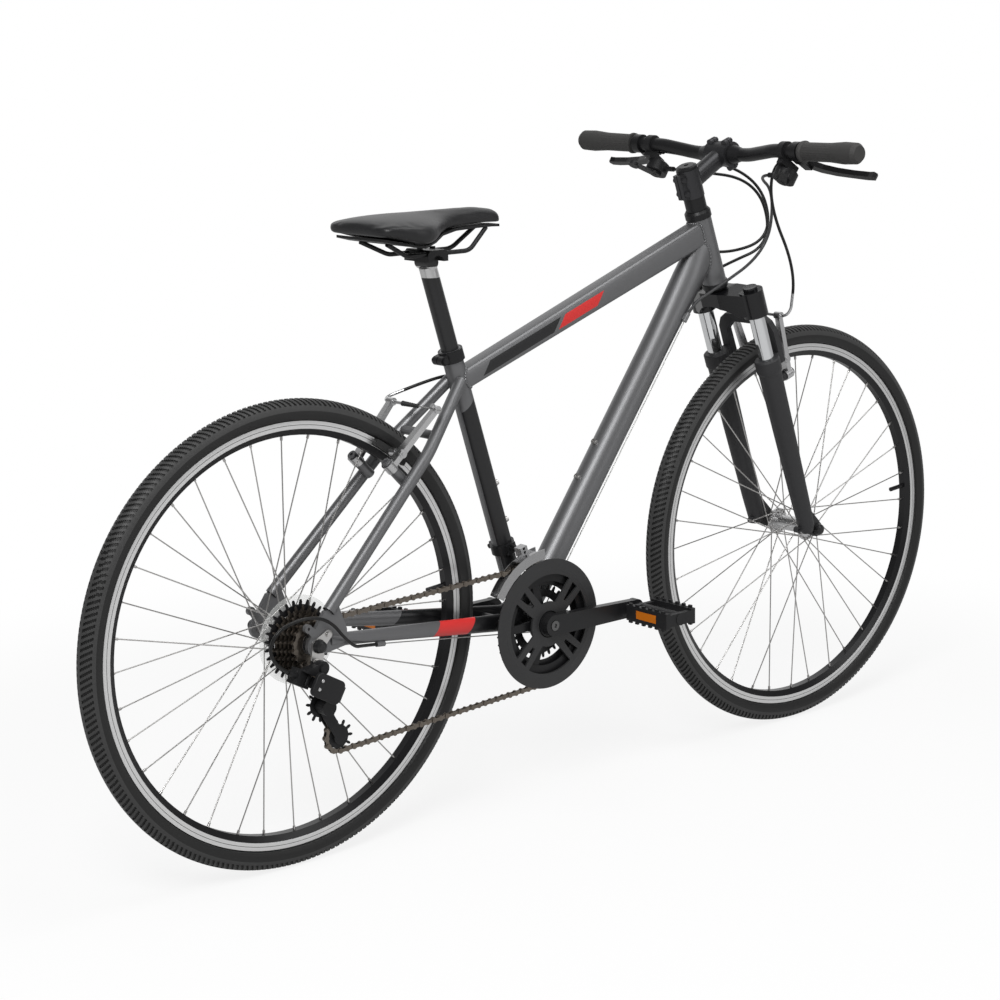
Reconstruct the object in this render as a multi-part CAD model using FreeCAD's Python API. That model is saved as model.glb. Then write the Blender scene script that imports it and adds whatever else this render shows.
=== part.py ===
import FreeCAD
import Part
import math
import os

# Hybrid bicycle with a suspension fork. X points forward, Y to the rider's left and Z up.
# The origin lies on the ground, midway between the axles. All sizes are millimetres and degrees.

V = FreeCAD.Vector
AXIS_Y = V(0, 1, 0)
RIGHT = -1
LEFT = 1

# Clearances shared by every fit.
running_gap = 0.05
seat_gap = 0.05
free_gap = 0.4
soft_gap = 0.3

# Wheels.
wheelbase = 1085.0
bead_seat_radius = 311.0
tyre_section = 38.0
tyre_wall = 3.0
rim_width = 24.0
rim_flange = 2.5
rim_flange_height = 6.5
rim_depth = 21.0
rim_wall = 2.0
rim_spine_width = 13.0
rim_well_depth = 3.0
brake_track_height = 11.5
spoke_count = 36
spoke_radius = 1.0
spoke_crossings = 3
spoke_rim_offset = 2.0
elbow_lift = 1.5
nipple_radius = 2.0
nipple_length = 11.0
valve_radius = 3.8
valve_length = 32.0
flange_radius = 23.0
flange_thickness = 3.0
spoke_hole_inset = 3.5
axle_radius = 4.5
skewer_radius = 2.5
cone_radius = 8.0
front_hub_width = 100.0
front_flange_offset = 34.0
front_shell_radius = 15.0
rear_hub_width = 135.0
rear_left_flange_offset = 34.0
rear_right_flange_offset = 18.5
rear_shell_radius = 17.0
protector_radius = 66.0
protector_thickness = 1.4
protector_y = 23.4

# Drive.
chain_line = 57.0
chain_pitch = 12.7
roller_radius = 3.875
roller_width = 2.6
link_plate = 1.0
link_height = 8.4
pin_radius = 1.8
pin_length = 7.2
tooth_gap = 0.35
tooth_height = 3.0
tooth_tip_width = 2.2
sprocket_thickness = 2.0
sprocket_spacing = 4.9
sprocket_teeth = (14, 16, 18, 20, 22, 24, 28)
freewheel_radius = 21.0
ring_teeth = (48, 38, 28)
ring_spacing = 7.0
ring_band = 13.0
spider_thickness = 3.5
spider_hub_radius = 30.0
guard_radius = 103.5
guard_band = 24.0
guard_thickness = 3.5
guard_hub_radius = 36.0
guard_arm_width = 15.0
guard_dish = 17.0
guard_y = 62.0
guard_post_radius = 85.0
spider_neck_radius = 20.0
pulley_teeth = 11
band_along = 118.0
band_height = 16.0
carrier_inner = 37.0
carrier_outer = 47.0
carrier_throw = 14.0
slide_pin_radius = 2.2
cage_inner_y = 50.5
cage_outer_y = 62.2
cage_sheet = 1.2
cage_low = 105.5
cage_high = 121.0
bracket_drop = 53.0
bracket_ahead_of_axle = 454.5
shell_width = 68.0
shell_radius = 20.5
shell_bore = 17.2
cup_flange = 3.0
spindle_radius = 8.5
crank_length = 170.0
crank_inner_face = 66.0
crank_thickness = 13.0
crank_cant = 8.0
crank_boss_radius = 17.0
crank_eye_radius = 14.0
crank_bolt_radius = 8.0
pedal_thread_radius = 7.0
pedal_spindle_radius = 5.0
pedal_barrel_radius = 10.0
pedal_collar = 6.0
pedal_width = 93.0
pedal_length = 64.0
pedal_height = 25.0
pedal_rail = 9.0
pedal_tooth = 3.5
reflector_width = 44.0
reflector_height = 13.0
reflector_thickness = 3.0

# Frame.
seat_angle = 72.7
head_angle = 71.0
fork_offset = 43.0
head_tube_bottom = 482.0
head_tube_length = 115.0
head_tube_radius = 20.0
head_tube_bore = 17.0
top_tube_on_seat = 410.0
top_tube_on_head = 573.0
top_tube_rear_height = 32.0
top_tube_front_height = 42.0
top_tube_width = 32.0
top_tube_corner = 9.0
down_tube_on_head = 551.0
down_tube_foot_radius = 20.0
down_tube_taper_length = 90.0
down_tube_radius = 23.0
down_tube_flare = 28.0
tube_wall = 1.8
seat_tube_radius = 15.9
seat_tube_length = 462.0
post_radius = 13.6
stay_wall = 1.6
chainstay_y_front = 25.0
chainstay_front_half_width = 7.0
chainstay_front_half_height = 15.0
chainstay_middle_half_height = 12.0
chainstay_middle_half_width = 8.0
chainstay_rear_radius = 9.0
chainstay_rear_half_width = 7.5
seatstay_radius = 9.5
seatstay_root = 13.0
seatstay_top_along = 408.0
seatstay_top_y = 17.0
seatstay_top_back = 16.0
seatstay_bend_y = 51.0
seatstay_bend_share = 0.30
seatstay_bend_radius = 160.0
dropout_thickness = 6.5
dropout_radius = 17.0
seatstay_end_up = 46.0
seatstay_end_ahead = 24.0
chainstay_end_ahead = 52.0
eyelet_radius = 6.5
eyelet_hole_radius = 2.1
bridge_radius = 7.0
chainstay_bridge_behind = 58.0
seatstay_bridge_share = 0.22
clamp_height = 18.0
clamp_wall = 3.2
bottle_boss_radius = 5.0
bottle_boss_height = 3.0
bottle_boss_spacing = 64.0
bottle_boss_down = 240.0
bottle_boss_seat = 164.0
cable_stop_height = 6.0
cable_stop_length = 16.0
cable_stop_radius = 4.0
down_stop_along = 562.0
chain_stop_share = 0.75
top_stop_front = 470.0
top_stop_rear = 40.0

# Seatpost and saddle.
post_top_along = 604.0
post_length = 300.0
post_wall = 2.4
saddle_setback = 134.39
saddle_length = 272.0
saddle_depth = 49.0
saddle_half_width = 86.0
rail_radius = 3.5
rail_spacing = 44.0
rail_lift = 13.32
rail_rear_end = 36.0
rail_flat_start = 80.0
rail_flat_end = 200.0
rail_front_end = 240.0
saddle_barrel_radius = 11.0
barrel_half = 15.0
rail_bend = 30.0
saddle_lift = 30.32
base_thickness = 4.0

# Fork, stem and bar.
leg_offset = 19.0
leg_spacing = 118.0
stanchion_radius = 13.0
stanchion_wall = 2.2
stanchion_bottom = 150.0
fork_travel = 60.0
crown_bottom = 418.0
crown_top = 463.0
crown_boss_radius = 20.5
crown_mid_top = 468.0
crown_arch_top = 445.0
crown_arch_radius = 58.0
steerer_radius = 14.3
steerer_wall = 2.4
steerer_top = 680.0
lower_top = 338.0
lower_collar_height = 22.0
lower_collar_radius = 21.5
lower_mid_radius = 18.0
lower_end_radius = 14.0
lower_end = 8.0
arch_offset = 50.0
arch_depth = 11.0
arch_band = 17.0
arch_top = 403.0
fork_end_thickness = 8.0
cup_height = 14.0
headset_cup_radius = 21.8
spacer_radius = 17.5
stem_bottom = 634.0
stem_height = 48.0
stem_radius = 18.5
stem_arm_radius = 15.5
stem_lug_radius = 6.0
bar_ahead = 84.0
bar_up = 674.0
bar_clamp_radius = 15.9
bar_clamp_wall = 5.0
bar_clamp_width = 46.0
bar_radius = 11.1
bar_wall = 2.0
bar_half_width = 310.0
bar_rise = 13.0
bar_sweep = 21.0
bar_straight = 60.0
bar_bend = 125.0
bar_bend_radius = 110.0
bar_bulge = 34.0
grip_length = 122.0
grip_radius = 15.5
grip_flare_radius = 17.5
grip_end = 3.0
lever_down_angle = 35.0
lever_clamp_far = 19.0
lever_clamp_near = 5.0
lever_pivot_in = 18.0
lever_pin_radius = 3.0
lever_barrel_end = 50.0
barrel_ahead = 22.0
lever_reach = 36.0
lever_length = 112.0
lever_thickness = 9.0
shifter_in = 47.0
shifter_ahead = 28.0
shifter_radius = 19.0
shifter_height = 17.0
shifter_drop = 29.0
shifter_clamp_far = 46.0
shifter_clamp_near = 34.0
shifter_barrel_end = 84.0
shift_lever_thickness = 4.0
shift_tip_in = 20.0
shift_tip_ahead = 0.0
control_clamp_radius = 15.5

# Brakes.
brake_pivot_along = 282.0
brake_pivot_y = 41.0
brake_stud_radius = 4.0
brake_arm_length = 110.0
brake_arm_splay = 12.0
brake_arm_width = 13.0
brake_arm_depth = 9.0
brake_base_radius = 9.5
pad_length = 66.0
pad_height = 10.0
pad_thickness = 9.0
pad_gap = 2.1
front_brake_off = 31.0
rear_brake_off = 53.0
brake_base_depth = 8.0
boss_radius = 8.0
noodle_inward = 28.0
noodle_reach = 26.0
noodle_rise = 38.0
noodle_bend = 18.0
rear_noodle_bend = 10.0
noodle_lean = 28.0
boot_radius = 4.2
boot_length = 36.0

# Rear derailleur.
hanger_drop = 30.0
hanger_back = 3.0
hanger_thickness = 3.0
hanger_screw_ahead = 18.0
hanger_screw_up = 14.0
guide_ahead = 14.5
guide_drop = 95.0
cage_length = 62.0
cage_start_angle = -54.0
cage_plate = 1.6
derailleur_link_length = 46.0
derailleur_link_down = 29.4
derailleur_throw = 4.0
derailleur_link_width = 16.0
derailleur_link_gap = 7.0
derailleur_y = 71.5
link_bar = 3.0
cage_half_gap = 4.5
cage_pin_radius = 4.0
pulley_pin_radius = 3.0
derailleur_pin_radius = 2.0

# Cables.
housing_radius = 2.5
wire_radius = 0.9
wire_wrap_gap = 1.7

# Values worked out from the driving dimensions.
tyre_radius = bead_seat_radius + tyre_section
rear_axle = V(-wheelbase / 2, 0, tyre_radius)
front_axle = V(wheelbase / 2, 0, tyre_radius)
bracket = V(rear_axle.x + bracket_ahead_of_axle, 0, tyre_radius - bracket_drop)
head_rad = math.radians(head_angle)
seat_rad = math.radians(seat_angle)
steer_up = V(-math.cos(head_rad), 0, math.sin(head_rad))
steer_ahead = V(math.sin(head_rad), 0, math.cos(head_rad))
steer_foot = front_axle - steer_ahead * fork_offset
seat_up = V(-math.cos(seat_rad), 0, math.sin(seat_rad))
seat_back = V(-math.sin(seat_rad), 0, -math.cos(seat_rad))
rim_flange_top = bead_seat_radius + rim_flange_height
rim_inner_edge = rim_flange_top - rim_depth
brake_track_radius = rim_flange_top - brake_track_height / 2


def fork_at(ahead, up, y=0.0):
    """A point given by its place across and along the steering axis."""
    return steer_foot + steer_ahead * ahead + steer_up * up + AXIS_Y * y


def seat_at(along, back=0.0, y=0.0):
    """A point given by its place along the seat tube and behind it."""
    return bracket + seat_up * along + seat_back * back + AXIS_Y * y


def rod(start, end, radius, end_radius=None):
    """A round bar or cone between two points."""
    run = end - start
    if end_radius is None or abs(end_radius - radius) < 1e-9:
        return Part.makeCylinder(radius, run.Length, start, run)
    return Part.makeCone(radius, end_radius, run.Length, start, run)


def pipe(start, end, radius, bore):
    """A round tube between two points."""
    return rod(start, end, radius).cut(rod(start, end, bore))


def turned(profile, centre, axis):
    """A turned solid: profile holds pairs of distance along the axis and radius."""
    across = axis.cross(V(0, 0, 1))
    if across.Length < 0.1:
        across = axis.cross(V(1, 0, 0))
    across.normalize()
    points = [centre + axis * along + across * radius for along, radius in profile]
    face = Part.Face(Part.makePolygon(points + points[:1]))
    return face.revolve(centre, axis, 360)


def slab(points, thickness):
    """A flat polygon given a thickness along a vector."""
    return Part.Face(Part.makePolygon(points + points[:1])).extrude(thickness)


def ellipse_wire(centre, axis, first, first_radius, second_radius):
    """An ellipse round an axis, with its first radius along a given direction."""
    second = axis.cross(first)
    if abs(first_radius - second_radius) < 1e-6:
        curve = Part.Ellipse(centre + first * (first_radius + 0.002), centre + second * second_radius,
                             centre)
    elif first_radius > second_radius:
        curve = Part.Ellipse(centre + first * first_radius, centre + second * second_radius, centre)
    else:
        curve = Part.Ellipse(centre + second * second_radius, centre - first * first_radius, centre)
    return Part.Wire([curve.toShape()])


def rounded_wire(centre, across, up, width, height, corner):
    """A rectangle with round corners, centred on a point."""
    edges = []
    half_w = width / 2
    half_h = height / 2
    bend = corner * (1 - math.sqrt(0.5))
    for sx, sy in ((1, 1), (-1, 1), (-1, -1), (1, -1)):
        side = centre + across * (sx * half_w) + up * (sy * (half_h - corner))
        top = centre + across * (sx * (half_w - corner)) + up * (sy * half_h)
        middle = centre + across * (sx * (half_w - bend)) + up * (sy * (half_h - bend))
        start, end = (side, top) if sx * sy > 0 else (top, side)
        edges.append((start, middle, end))
    wire = []
    for index, (start, middle, end) in enumerate(edges):
        wire.append(Part.Arc(start, middle, end).toShape())
        wire.append(Part.LineSegment(end, edges[(index + 1) % 4][0]).toShape())
    return Part.Wire(wire)


def loft(wires, ruled=False):
    """A solid through a row of closed outlines."""
    return Part.makeLoft(wires, True, ruled)


def bent_path(points, radius):
    """Straight runs joined by tangent arcs. Radius None gives each arc the largest its runs allow."""
    edges = []
    radii = []
    cursor = points[0]
    for before, corner, after in zip(points, points[1:], points[2:]):
        inward = (before - corner).normalize()
        onward = (after - corner).normalize()
        half_turn = (math.pi - inward.getAngle(onward)) / 2
        room = 0.45 * min((before - corner).Length, (after - corner).Length)
        bend = room / math.tan(half_turn) if radius is None else radius
        reach = bend * math.tan(half_turn)
        start = corner + inward * reach
        end = corner + onward * reach
        towards = (inward + onward).normalize()
        middle = corner + towards * (bend / math.cos(half_turn) - bend)
        edges.append(Part.LineSegment(cursor, start).toShape())
        edges.append(Part.Arc(start, middle, end).toShape())
        radii.append(bend)
        cursor = end
    edges.append(Part.LineSegment(cursor, points[-1]).toShape())
    return Part.Wire(edges), radii


def bent_rod(points, section_radius, bend_radius=None):
    """A round bar along straight runs and tangent arcs."""
    path, radii = bent_path(points, bend_radius)
    ring = Part.Wire([Part.Circle(points[0], points[1] - points[0], section_radius).toShape()])
    return path.makePipeShell([ring], True, False)


def joined(shapes):
    """Several overlapping shapes made into one solid."""
    return shapes[0].fuse(shapes[1:]).removeSplitter()


def spun(shape, centre, axis, degrees):
    """A copy turned about an axis."""
    copy = shape.copy()
    copy.rotate(centre, axis, degrees)
    return copy


def moved(shape, offset):
    """A copy carried by a vector."""
    copy = shape.copy()
    copy.translate(offset)
    return copy


def mirrored(shape):
    """The same shape on the other side of the bicycle."""
    return shape.mirror(V(0, 0, 0), AXIS_Y)


def solids_of(shapes):
    """The separate solids in a list of shapes."""
    return [solid for shape in shapes for solid in shape.Solids]


def save(name, shapes):
    """Writes one sub-part as a group of separate solids."""
    Part.makeCompound(solids_of(shapes)).exportStep("parts/" + name + ".step")


# The frame.


def head_tube_ends():
    return fork_at(0, head_tube_bottom), fork_at(0, head_tube_bottom + head_tube_length)


def make_head_tube():
    low, high = head_tube_ends()
    return pipe(low, high, head_tube_radius, head_tube_bore)


def head_tube_core():
    low, high = head_tube_ends()
    return rod(low, high, head_tube_radius)


def seat_tube_core():
    return rod(seat_at(0), seat_at(seat_tube_length), seat_tube_radius)


def shell_core():
    half = AXIS_Y * (shell_width / 2)
    return rod(bracket - half, bracket + half, shell_radius)


def top_tube_body(inset):
    """The top tube's rounded box section, deeper towards the head tube."""
    rear = seat_at(top_tube_on_seat)
    front = fork_at(0, top_tube_on_head)
    run = (front - rear).normalize()
    up = V(-run.z, 0, run.x)
    width = top_tube_width - 2 * inset
    corner = top_tube_corner - inset
    sections = [
        rounded_wire(rear, AXIS_Y, up, width, top_tube_rear_height - 2 * inset, corner),
        rounded_wire(front, AXIS_Y, up, width, top_tube_front_height - 2 * inset, corner),
    ]
    return loft(sections, True)


def make_top_tube():
    tube = top_tube_body(0).cut(top_tube_body(tube_wall))
    return tube.cut([head_tube_core(), seat_tube_core()])


def down_tube_ends():
    return bracket, fork_at(0, down_tube_on_head)


def down_tube_body(inset):
    """A round down tube that grows into an upright oval at the head tube."""
    low, high = down_tube_ends()
    run = (high - low).normalize()
    up = V(-run.z, 0, run.x)
    middle = low + (high - low) * 0.7
    waist = low + run * down_tube_taper_length
    radius = down_tube_radius - inset
    foot = down_tube_foot_radius - inset
    rings = ((low, foot, foot), (waist, radius, radius), (middle, radius, radius),
             (high, down_tube_flare - inset, radius))
    return loft([ellipse_wire(spot, run, up, tall, wide) for spot, tall, wide in rings], True)


def make_down_tube():
    tube = down_tube_body(0).cut(down_tube_body(tube_wall))
    return tube.cut([head_tube_core(), shell_core(), top_tube_body(0)])


def make_seat_tube():
    bore = post_radius + running_gap
    tube = pipe(seat_at(0), seat_at(seat_tube_length), seat_tube_radius, bore)
    return tube.cut([shell_core(), down_tube_body(0)])


def make_shell():
    half = AXIS_Y * (shell_width / 2)
    return pipe(bracket - half, bracket + half, shell_radius, shell_bore)


def dropout_middle(side):
    return side * (rear_hub_width + dropout_thickness) / 2


def chainstay_ends(side):
    front = bracket + AXIS_Y * (side * chainstay_y_front)
    rear = rear_axle + V(chainstay_end_ahead - 40, dropout_middle(side), 5)
    return front, rear


def stay_ring(centre, run, up, half_height, half_width):
    return ellipse_wire(centre, run, up, half_height, half_width)


def chainstay_body(side, inset):
    front, rear = chainstay_ends(side)
    run = (rear - front).normalize()
    up = V(0, 0, 1)
    up = (up - run * up.dot(run)).normalize()
    sections = [
        stay_ring(front, run, up, chainstay_front_half_height - inset, chainstay_front_half_width - inset),
        stay_ring(front + (rear - front) * 0.45, run, up, chainstay_middle_half_height - inset,
                  chainstay_middle_half_width - inset),
        stay_ring(rear, run, up, chainstay_rear_radius - inset, chainstay_rear_half_width - inset),
    ]
    return loft(sections)


def seatstay_points(side):
    top = seat_at(seatstay_top_along, seatstay_top_back, side * seatstay_top_y)
    end = rear_axle + V(seatstay_end_ahead, dropout_middle(side), seatstay_end_up)
    bend = top + (end - top) * seatstay_bend_share
    return [top, V(bend.x, side * seatstay_bend_y, bend.z), end]


def seatstay_body(side, inset):
    """One stay, run on at its top so that the seat tube's wall cuts its end."""
    top, bend, end = seatstay_points(side)
    root = top + (top - bend).normalize() * seatstay_root
    return bent_rod([root, bend, end], seatstay_radius - inset, seatstay_bend_radius)


def dropout_outline(side):
    """The plate that joins both stays on one side and holds the axle."""
    inner = side * rear_hub_width / 2
    face = rear_axle + AXIS_Y * inner
    thickness = AXIS_Y * (side * dropout_thickness)
    seat_end = seatstay_points(side)[2]
    disc = rod(face, face + thickness, dropout_radius)
    flat_seat = V(seat_end.x, inner, seat_end.z)
    ahead = V(chainstay_end_ahead, 0, 0)
    web = [
        face + V(-dropout_radius * 0.6, 0, dropout_radius * 0.8),
        flat_seat + V(-seatstay_radius, 0, 2),
        flat_seat + V(seatstay_radius * 1.6, 0, seatstay_radius),
        face + ahead + V(2, 0, 16),
        face + ahead + V(2, 0, -8),
        face + V(dropout_radius * 0.4, 0, -dropout_radius * 0.9),
    ]
    eye = eyelet_centre(side)
    tab = rod(eye, eye + thickness, eyelet_radius)
    tab_foot = [eye + V(0, 0, -eyelet_radius), eye + V(0, 0, eyelet_radius), face + V(8, 0, 18), face]
    tab_web = slab(tab_foot, thickness)
    plate = joined([disc, slab(web, thickness), tab, tab_web])
    hole = rod(face - thickness, face + thickness * 2, axle_radius + seat_gap)
    eye_hole = rod(eye - thickness, eye + thickness * 2, eyelet_hole_radius)
    return plate.cut([hole, eye_hole])


def eyelet_centre(side):
    return rear_axle + V(-14, side * rear_hub_width / 2, 27)


def middle_solid(shape):
    """The solid of a cut shape that lies nearest the middle plane."""
    return min(shape.Solids, key=lambda solid: abs(solid.CenterOfMass.y))


def biggest(shape):
    """The largest solid of a cut shape."""
    return max(shape.Solids, key=lambda solid: solid.Volume)


def make_chainstays():
    """Both chainstays with their dropouts and the bridge behind the bottom bracket."""
    shapes = []
    bodies = [chainstay_body(side, 0) for side in (RIGHT, LEFT)]
    axle_room = rod(rear_axle - AXIS_Y * 100, rear_axle + AXIS_Y * 100, dropout_radius + 8)
    for side, body in zip((RIGHT, LEFT), bodies):
        plate = dropout_outline(side)
        stay = body.cut(chainstay_body(side, stay_wall))
        stay = stay.cut([shell_core(), plate, axle_room, seat_tube_core(), down_tube_body(0)])
        shapes += [biggest(stay), plate]
    place = bracket + V(-chainstay_bridge_behind, 0, chainstay_front_half_height * 0.4)
    bridge = rod(place - AXIS_Y * 40, place + AXIS_Y * 40, bridge_radius)
    shapes.append(middle_solid(bridge.cut(bodies)))
    return shapes


def stay_direction():
    """The direction of the seatstays seen from the side, upwards."""
    points = seatstay_points(RIGHT)
    run = points[0] - points[2]
    return V(run.x, 0, run.z).normalize()


def rear_brake_frame():
    """Wheel centre, arm direction and stud direction of the rear brake."""
    along = stay_direction()
    return rear_axle, along, V(-along.z, 0, along.x), rear_brake_off


def front_brake_frame():
    """Wheel centre, arm direction and stud direction of the front brake."""
    return front_axle, steer_up, steer_ahead, front_brake_off


def brake_pivot(place, side):
    centre, along, out, off = place
    return centre + along * brake_pivot_along + out * off + AXIS_Y * (side * brake_pivot_y)


def brake_boss(place, side, reach):
    """A boss on the stay or leg with the stud and bolt head that carry one brake arm."""
    out = place[2]
    pivot = brake_pivot(place, side)
    shoulder = pivot - out * (brake_base_depth + free_gap)
    end = pivot + out * (brake_base_depth + free_gap)
    boss = rod(shoulder - out * reach, shoulder, boss_radius)
    stud = rod(shoulder, end, brake_stud_radius)
    head = rod(end, end + out * 3.5, brake_stud_radius + 3)
    socket = rod(end + out * 1.5, end + out * 4, brake_stud_radius - 1.2)
    return joined([boss, stud, head]).cut(socket)


def make_seatstays():
    """Both seatstays with their bridge and the rear brake bosses."""
    shapes = []
    bodies = [seatstay_body(side, 0) for side in (RIGHT, LEFT)]
    place = rear_brake_frame()
    for side, body in zip((RIGHT, LEFT), bodies):
        hollow = body.cut(seatstay_body(side, stay_wall))
        neighbours = [seat_tube_core(), top_tube_body(0), dropout_outline(side), chainstay_body(side, 0)]
        shapes.append(biggest(hollow.cut(neighbours)))
        shapes.append(biggest(brake_boss(place, side, rear_brake_off - 24).cut(body)))
    top, bend, end = seatstay_points(RIGHT)
    middle = top + (bend - top) * (seatstay_bridge_share / seatstay_bend_share)
    middle = V(middle.x, 0, middle.z)
    bridge = rod(middle - AXIS_Y * seatstay_bend_y, middle + AXIS_Y * seatstay_bend_y, bridge_radius)
    shapes.append(middle_solid(bridge.cut(bodies)))
    return shapes


def down_tube_up():
    low, high = down_tube_ends()
    run = (high - low).normalize()
    return V(-run.z, 0, run.x)


def boss_on(base, outward, surface_radius, tube):
    """A threaded bottle boss with its bolt, seated on a tube."""
    foot = base + outward * (surface_radius - 2)
    lip = base + outward * (surface_radius + bottle_boss_height)
    boss = rod(foot, lip, bottle_boss_radius).cut(tube)
    head = rod(lip, lip + outward * 3, bottle_boss_radius - 0.6)
    socket = rod(lip + outward * 1, lip + outward * 4, 2.0)
    return [biggest(boss), head.cut(socket)]


def cable_stop(base, along, outward, tube):
    """A short slotted barrel that ends a cable housing, on a foot against the tube."""
    centre = base + outward * cable_stop_height
    half = along * (cable_stop_length / 2)
    barrel = rod(centre - half, centre + half, cable_stop_radius)
    foot = slab([base - half * 0.7, base + half * 0.7, centre + half * 0.7, centre - half * 0.7],
                along.cross(outward) * 4)
    foot = moved(foot, along.cross(outward) * -2)
    bore = rod(centre - half * 1.1, centre + half * 0.6, housing_radius + seat_gap)
    through = rod(centre - half * 1.1, centre + half * 1.1, wire_radius + 0.6)
    return biggest(joined([barrel, foot]).cut([bore, through, tube]))


def stop_places():
    """Where each cable stop sits: point on the tube's side, direction of the wire and outward direction."""
    low, high = down_tube_ends()
    run = (high - low).normalize()
    drop = down_tube_up() * -1
    places = {}
    for name, side in (("right", RIGHT), ("left", LEFT)):
        base = low + run * down_stop_along
        outward = (AXIS_Y * side + drop * 0.55).normalize()
        places[name] = (base + outward * (down_tube_radius - 1.5), run * -1, outward)
    front, rear = chainstay_ends(RIGHT)
    stay_run = (rear - front).normalize()
    spot = front + (rear - front) * chain_stop_share
    outward = (V(0, 0, -1) + AXIS_Y * -0.25).normalize()
    places["stay"] = (spot + outward * (chainstay_middle_half_height - 4.5), stay_run * -1, outward)
    top_rear = seat_at(top_tube_on_seat)
    top_front = fork_at(0, top_tube_on_head)
    top_run = (top_front - top_rear).normalize()
    top_side = AXIS_Y * (top_tube_width / 2 - 1)
    places["top_front"] = (top_rear + top_run * top_stop_front + top_side, top_run * -1, AXIS_Y)
    places["top_rear"] = (top_rear + top_run * top_stop_rear + top_side, top_run, AXIS_Y)
    return places


def stop_mouth(name):
    """The middle of the barrel of a cable stop and the direction its wire leaves."""
    base, along, outward = stop_places()[name]
    return base + outward * cable_stop_height, along


def make_frame_fittings():
    """Bottle bosses with bolts, and the cable stops."""
    shapes = []
    low, high = down_tube_ends()
    run = (high - low).normalize()
    for step in (0, 1):
        base = low + run * (bottle_boss_down + step * bottle_boss_spacing)
        shapes += boss_on(base, down_tube_up(), down_tube_radius, down_tube_body(0))
        base = seat_at(bottle_boss_seat + step * bottle_boss_spacing)
        shapes += boss_on(base, seat_back * -1, seat_tube_radius, seat_tube_core())
    tubes = {"right": down_tube_body(0), "left": down_tube_body(0), "stay": chainstay_body(RIGHT, 0),
             "top_front": top_tube_body(0), "top_rear": top_tube_body(0)}
    for name, (base, along, outward) in stop_places().items():
        shapes.append(cable_stop(base, along, outward, tubes[name]))
    return shapes


def make_bearing_cups():
    """Headset cups pressed into the head tube and bottom bracket cups screwed into the shell."""
    low, high = head_tube_ends()
    bore = steerer_radius + running_gap
    sleeve = head_tube_bore - seat_gap
    profile = [(-18, bore), (-18, sleeve), (0, sleeve), (0, headset_cup_radius),
               (cup_height - 4, headset_cup_radius),
               (cup_height, headset_cup_radius - 3), (cup_height, bore)]
    lower = [(along - 2 if along > 5 else along, radius) for along, radius in profile]
    shapes = [turned(profile, high, steer_up), turned(lower, low, steer_up * -1)]
    inner = spindle_radius + running_gap
    body = shell_bore - seat_gap
    half = shell_width / 2
    profile = [(half - 18, inner), (half - 18, body), (half, body), (half, shell_radius - 0.5),
               (half + cup_flange, shell_radius - 1.5), (half + cup_flange, inner)]
    shapes += [turned(profile, bracket, AXIS_Y), turned(profile, bracket, AXIS_Y * -1)]
    return shapes


def make_seat_clamp():
    """The collar round the top of the seat tube, split at the back and drawn together by one bolt."""
    low = seat_at(seat_tube_length - clamp_height)
    high = seat_at(seat_tube_length)
    outer = seat_tube_radius + clamp_wall
    ring = pipe(low, high, outer, seat_tube_radius)
    middle = (low + high) * 0.5 + seat_back * (outer + 4)
    lug = rod(middle - AXIS_Y * 11, middle + AXIS_Y * 11, 7)
    web = slab([low + seat_up * 2 + seat_back * (outer - 6), high - seat_up * 2 + seat_back * (outer - 6),
                high - seat_up * 2 + seat_back * (outer + 4), low + seat_up * 2 + seat_back * (outer + 4)],
               AXIS_Y * 22)
    web = moved(web, AXIS_Y * -11)
    slot = slab([low - seat_up + seat_back * 5, high + seat_up + seat_back * 5,
                 high + seat_up + seat_back * (outer + 14),
                 low - seat_up + seat_back * (outer + 14)], AXIS_Y * 1.6)
    slot = moved(slot, AXIS_Y * -0.8)
    bolt_hole = rod(middle - AXIS_Y * 20, middle + AXIS_Y * 20, 2.6)
    collar = joined([ring, lug, web]).cut([slot, bolt_hole, rod(low, high, seat_tube_radius),
                                           top_tube_body(0)])
    stays = [seatstay_body(side, 0) for side in (RIGHT, LEFT)]
    head = rod(middle - AXIS_Y * 15, middle - AXIS_Y * 11, 4.6)
    shank = rod(middle - AXIS_Y * 11, middle + AXIS_Y * 11, 2.5)
    nut = rod(middle + AXIS_Y * 11, middle + AXIS_Y * 15, 4.6)
    return [biggest(collar.cut(stays)), joined([head, shank, nut])]


# The wheels.


def ring_of(profile_edges, centre):
    """A profile of distance from the axle and y, turned about the axle."""
    face = Part.Face(Part.Wire(profile_edges))
    return moved(face.revolve(V(0, 0, 0), AXIS_Y, 360), centre)


def at(rho, y):
    return V(0, y, rho)


def line(a, b):
    return Part.LineSegment(at(*a), at(*b)).toShape()


def arc(a, b, c):
    return Part.Arc(at(*a), at(*b), at(*c)).toShape()


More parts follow.
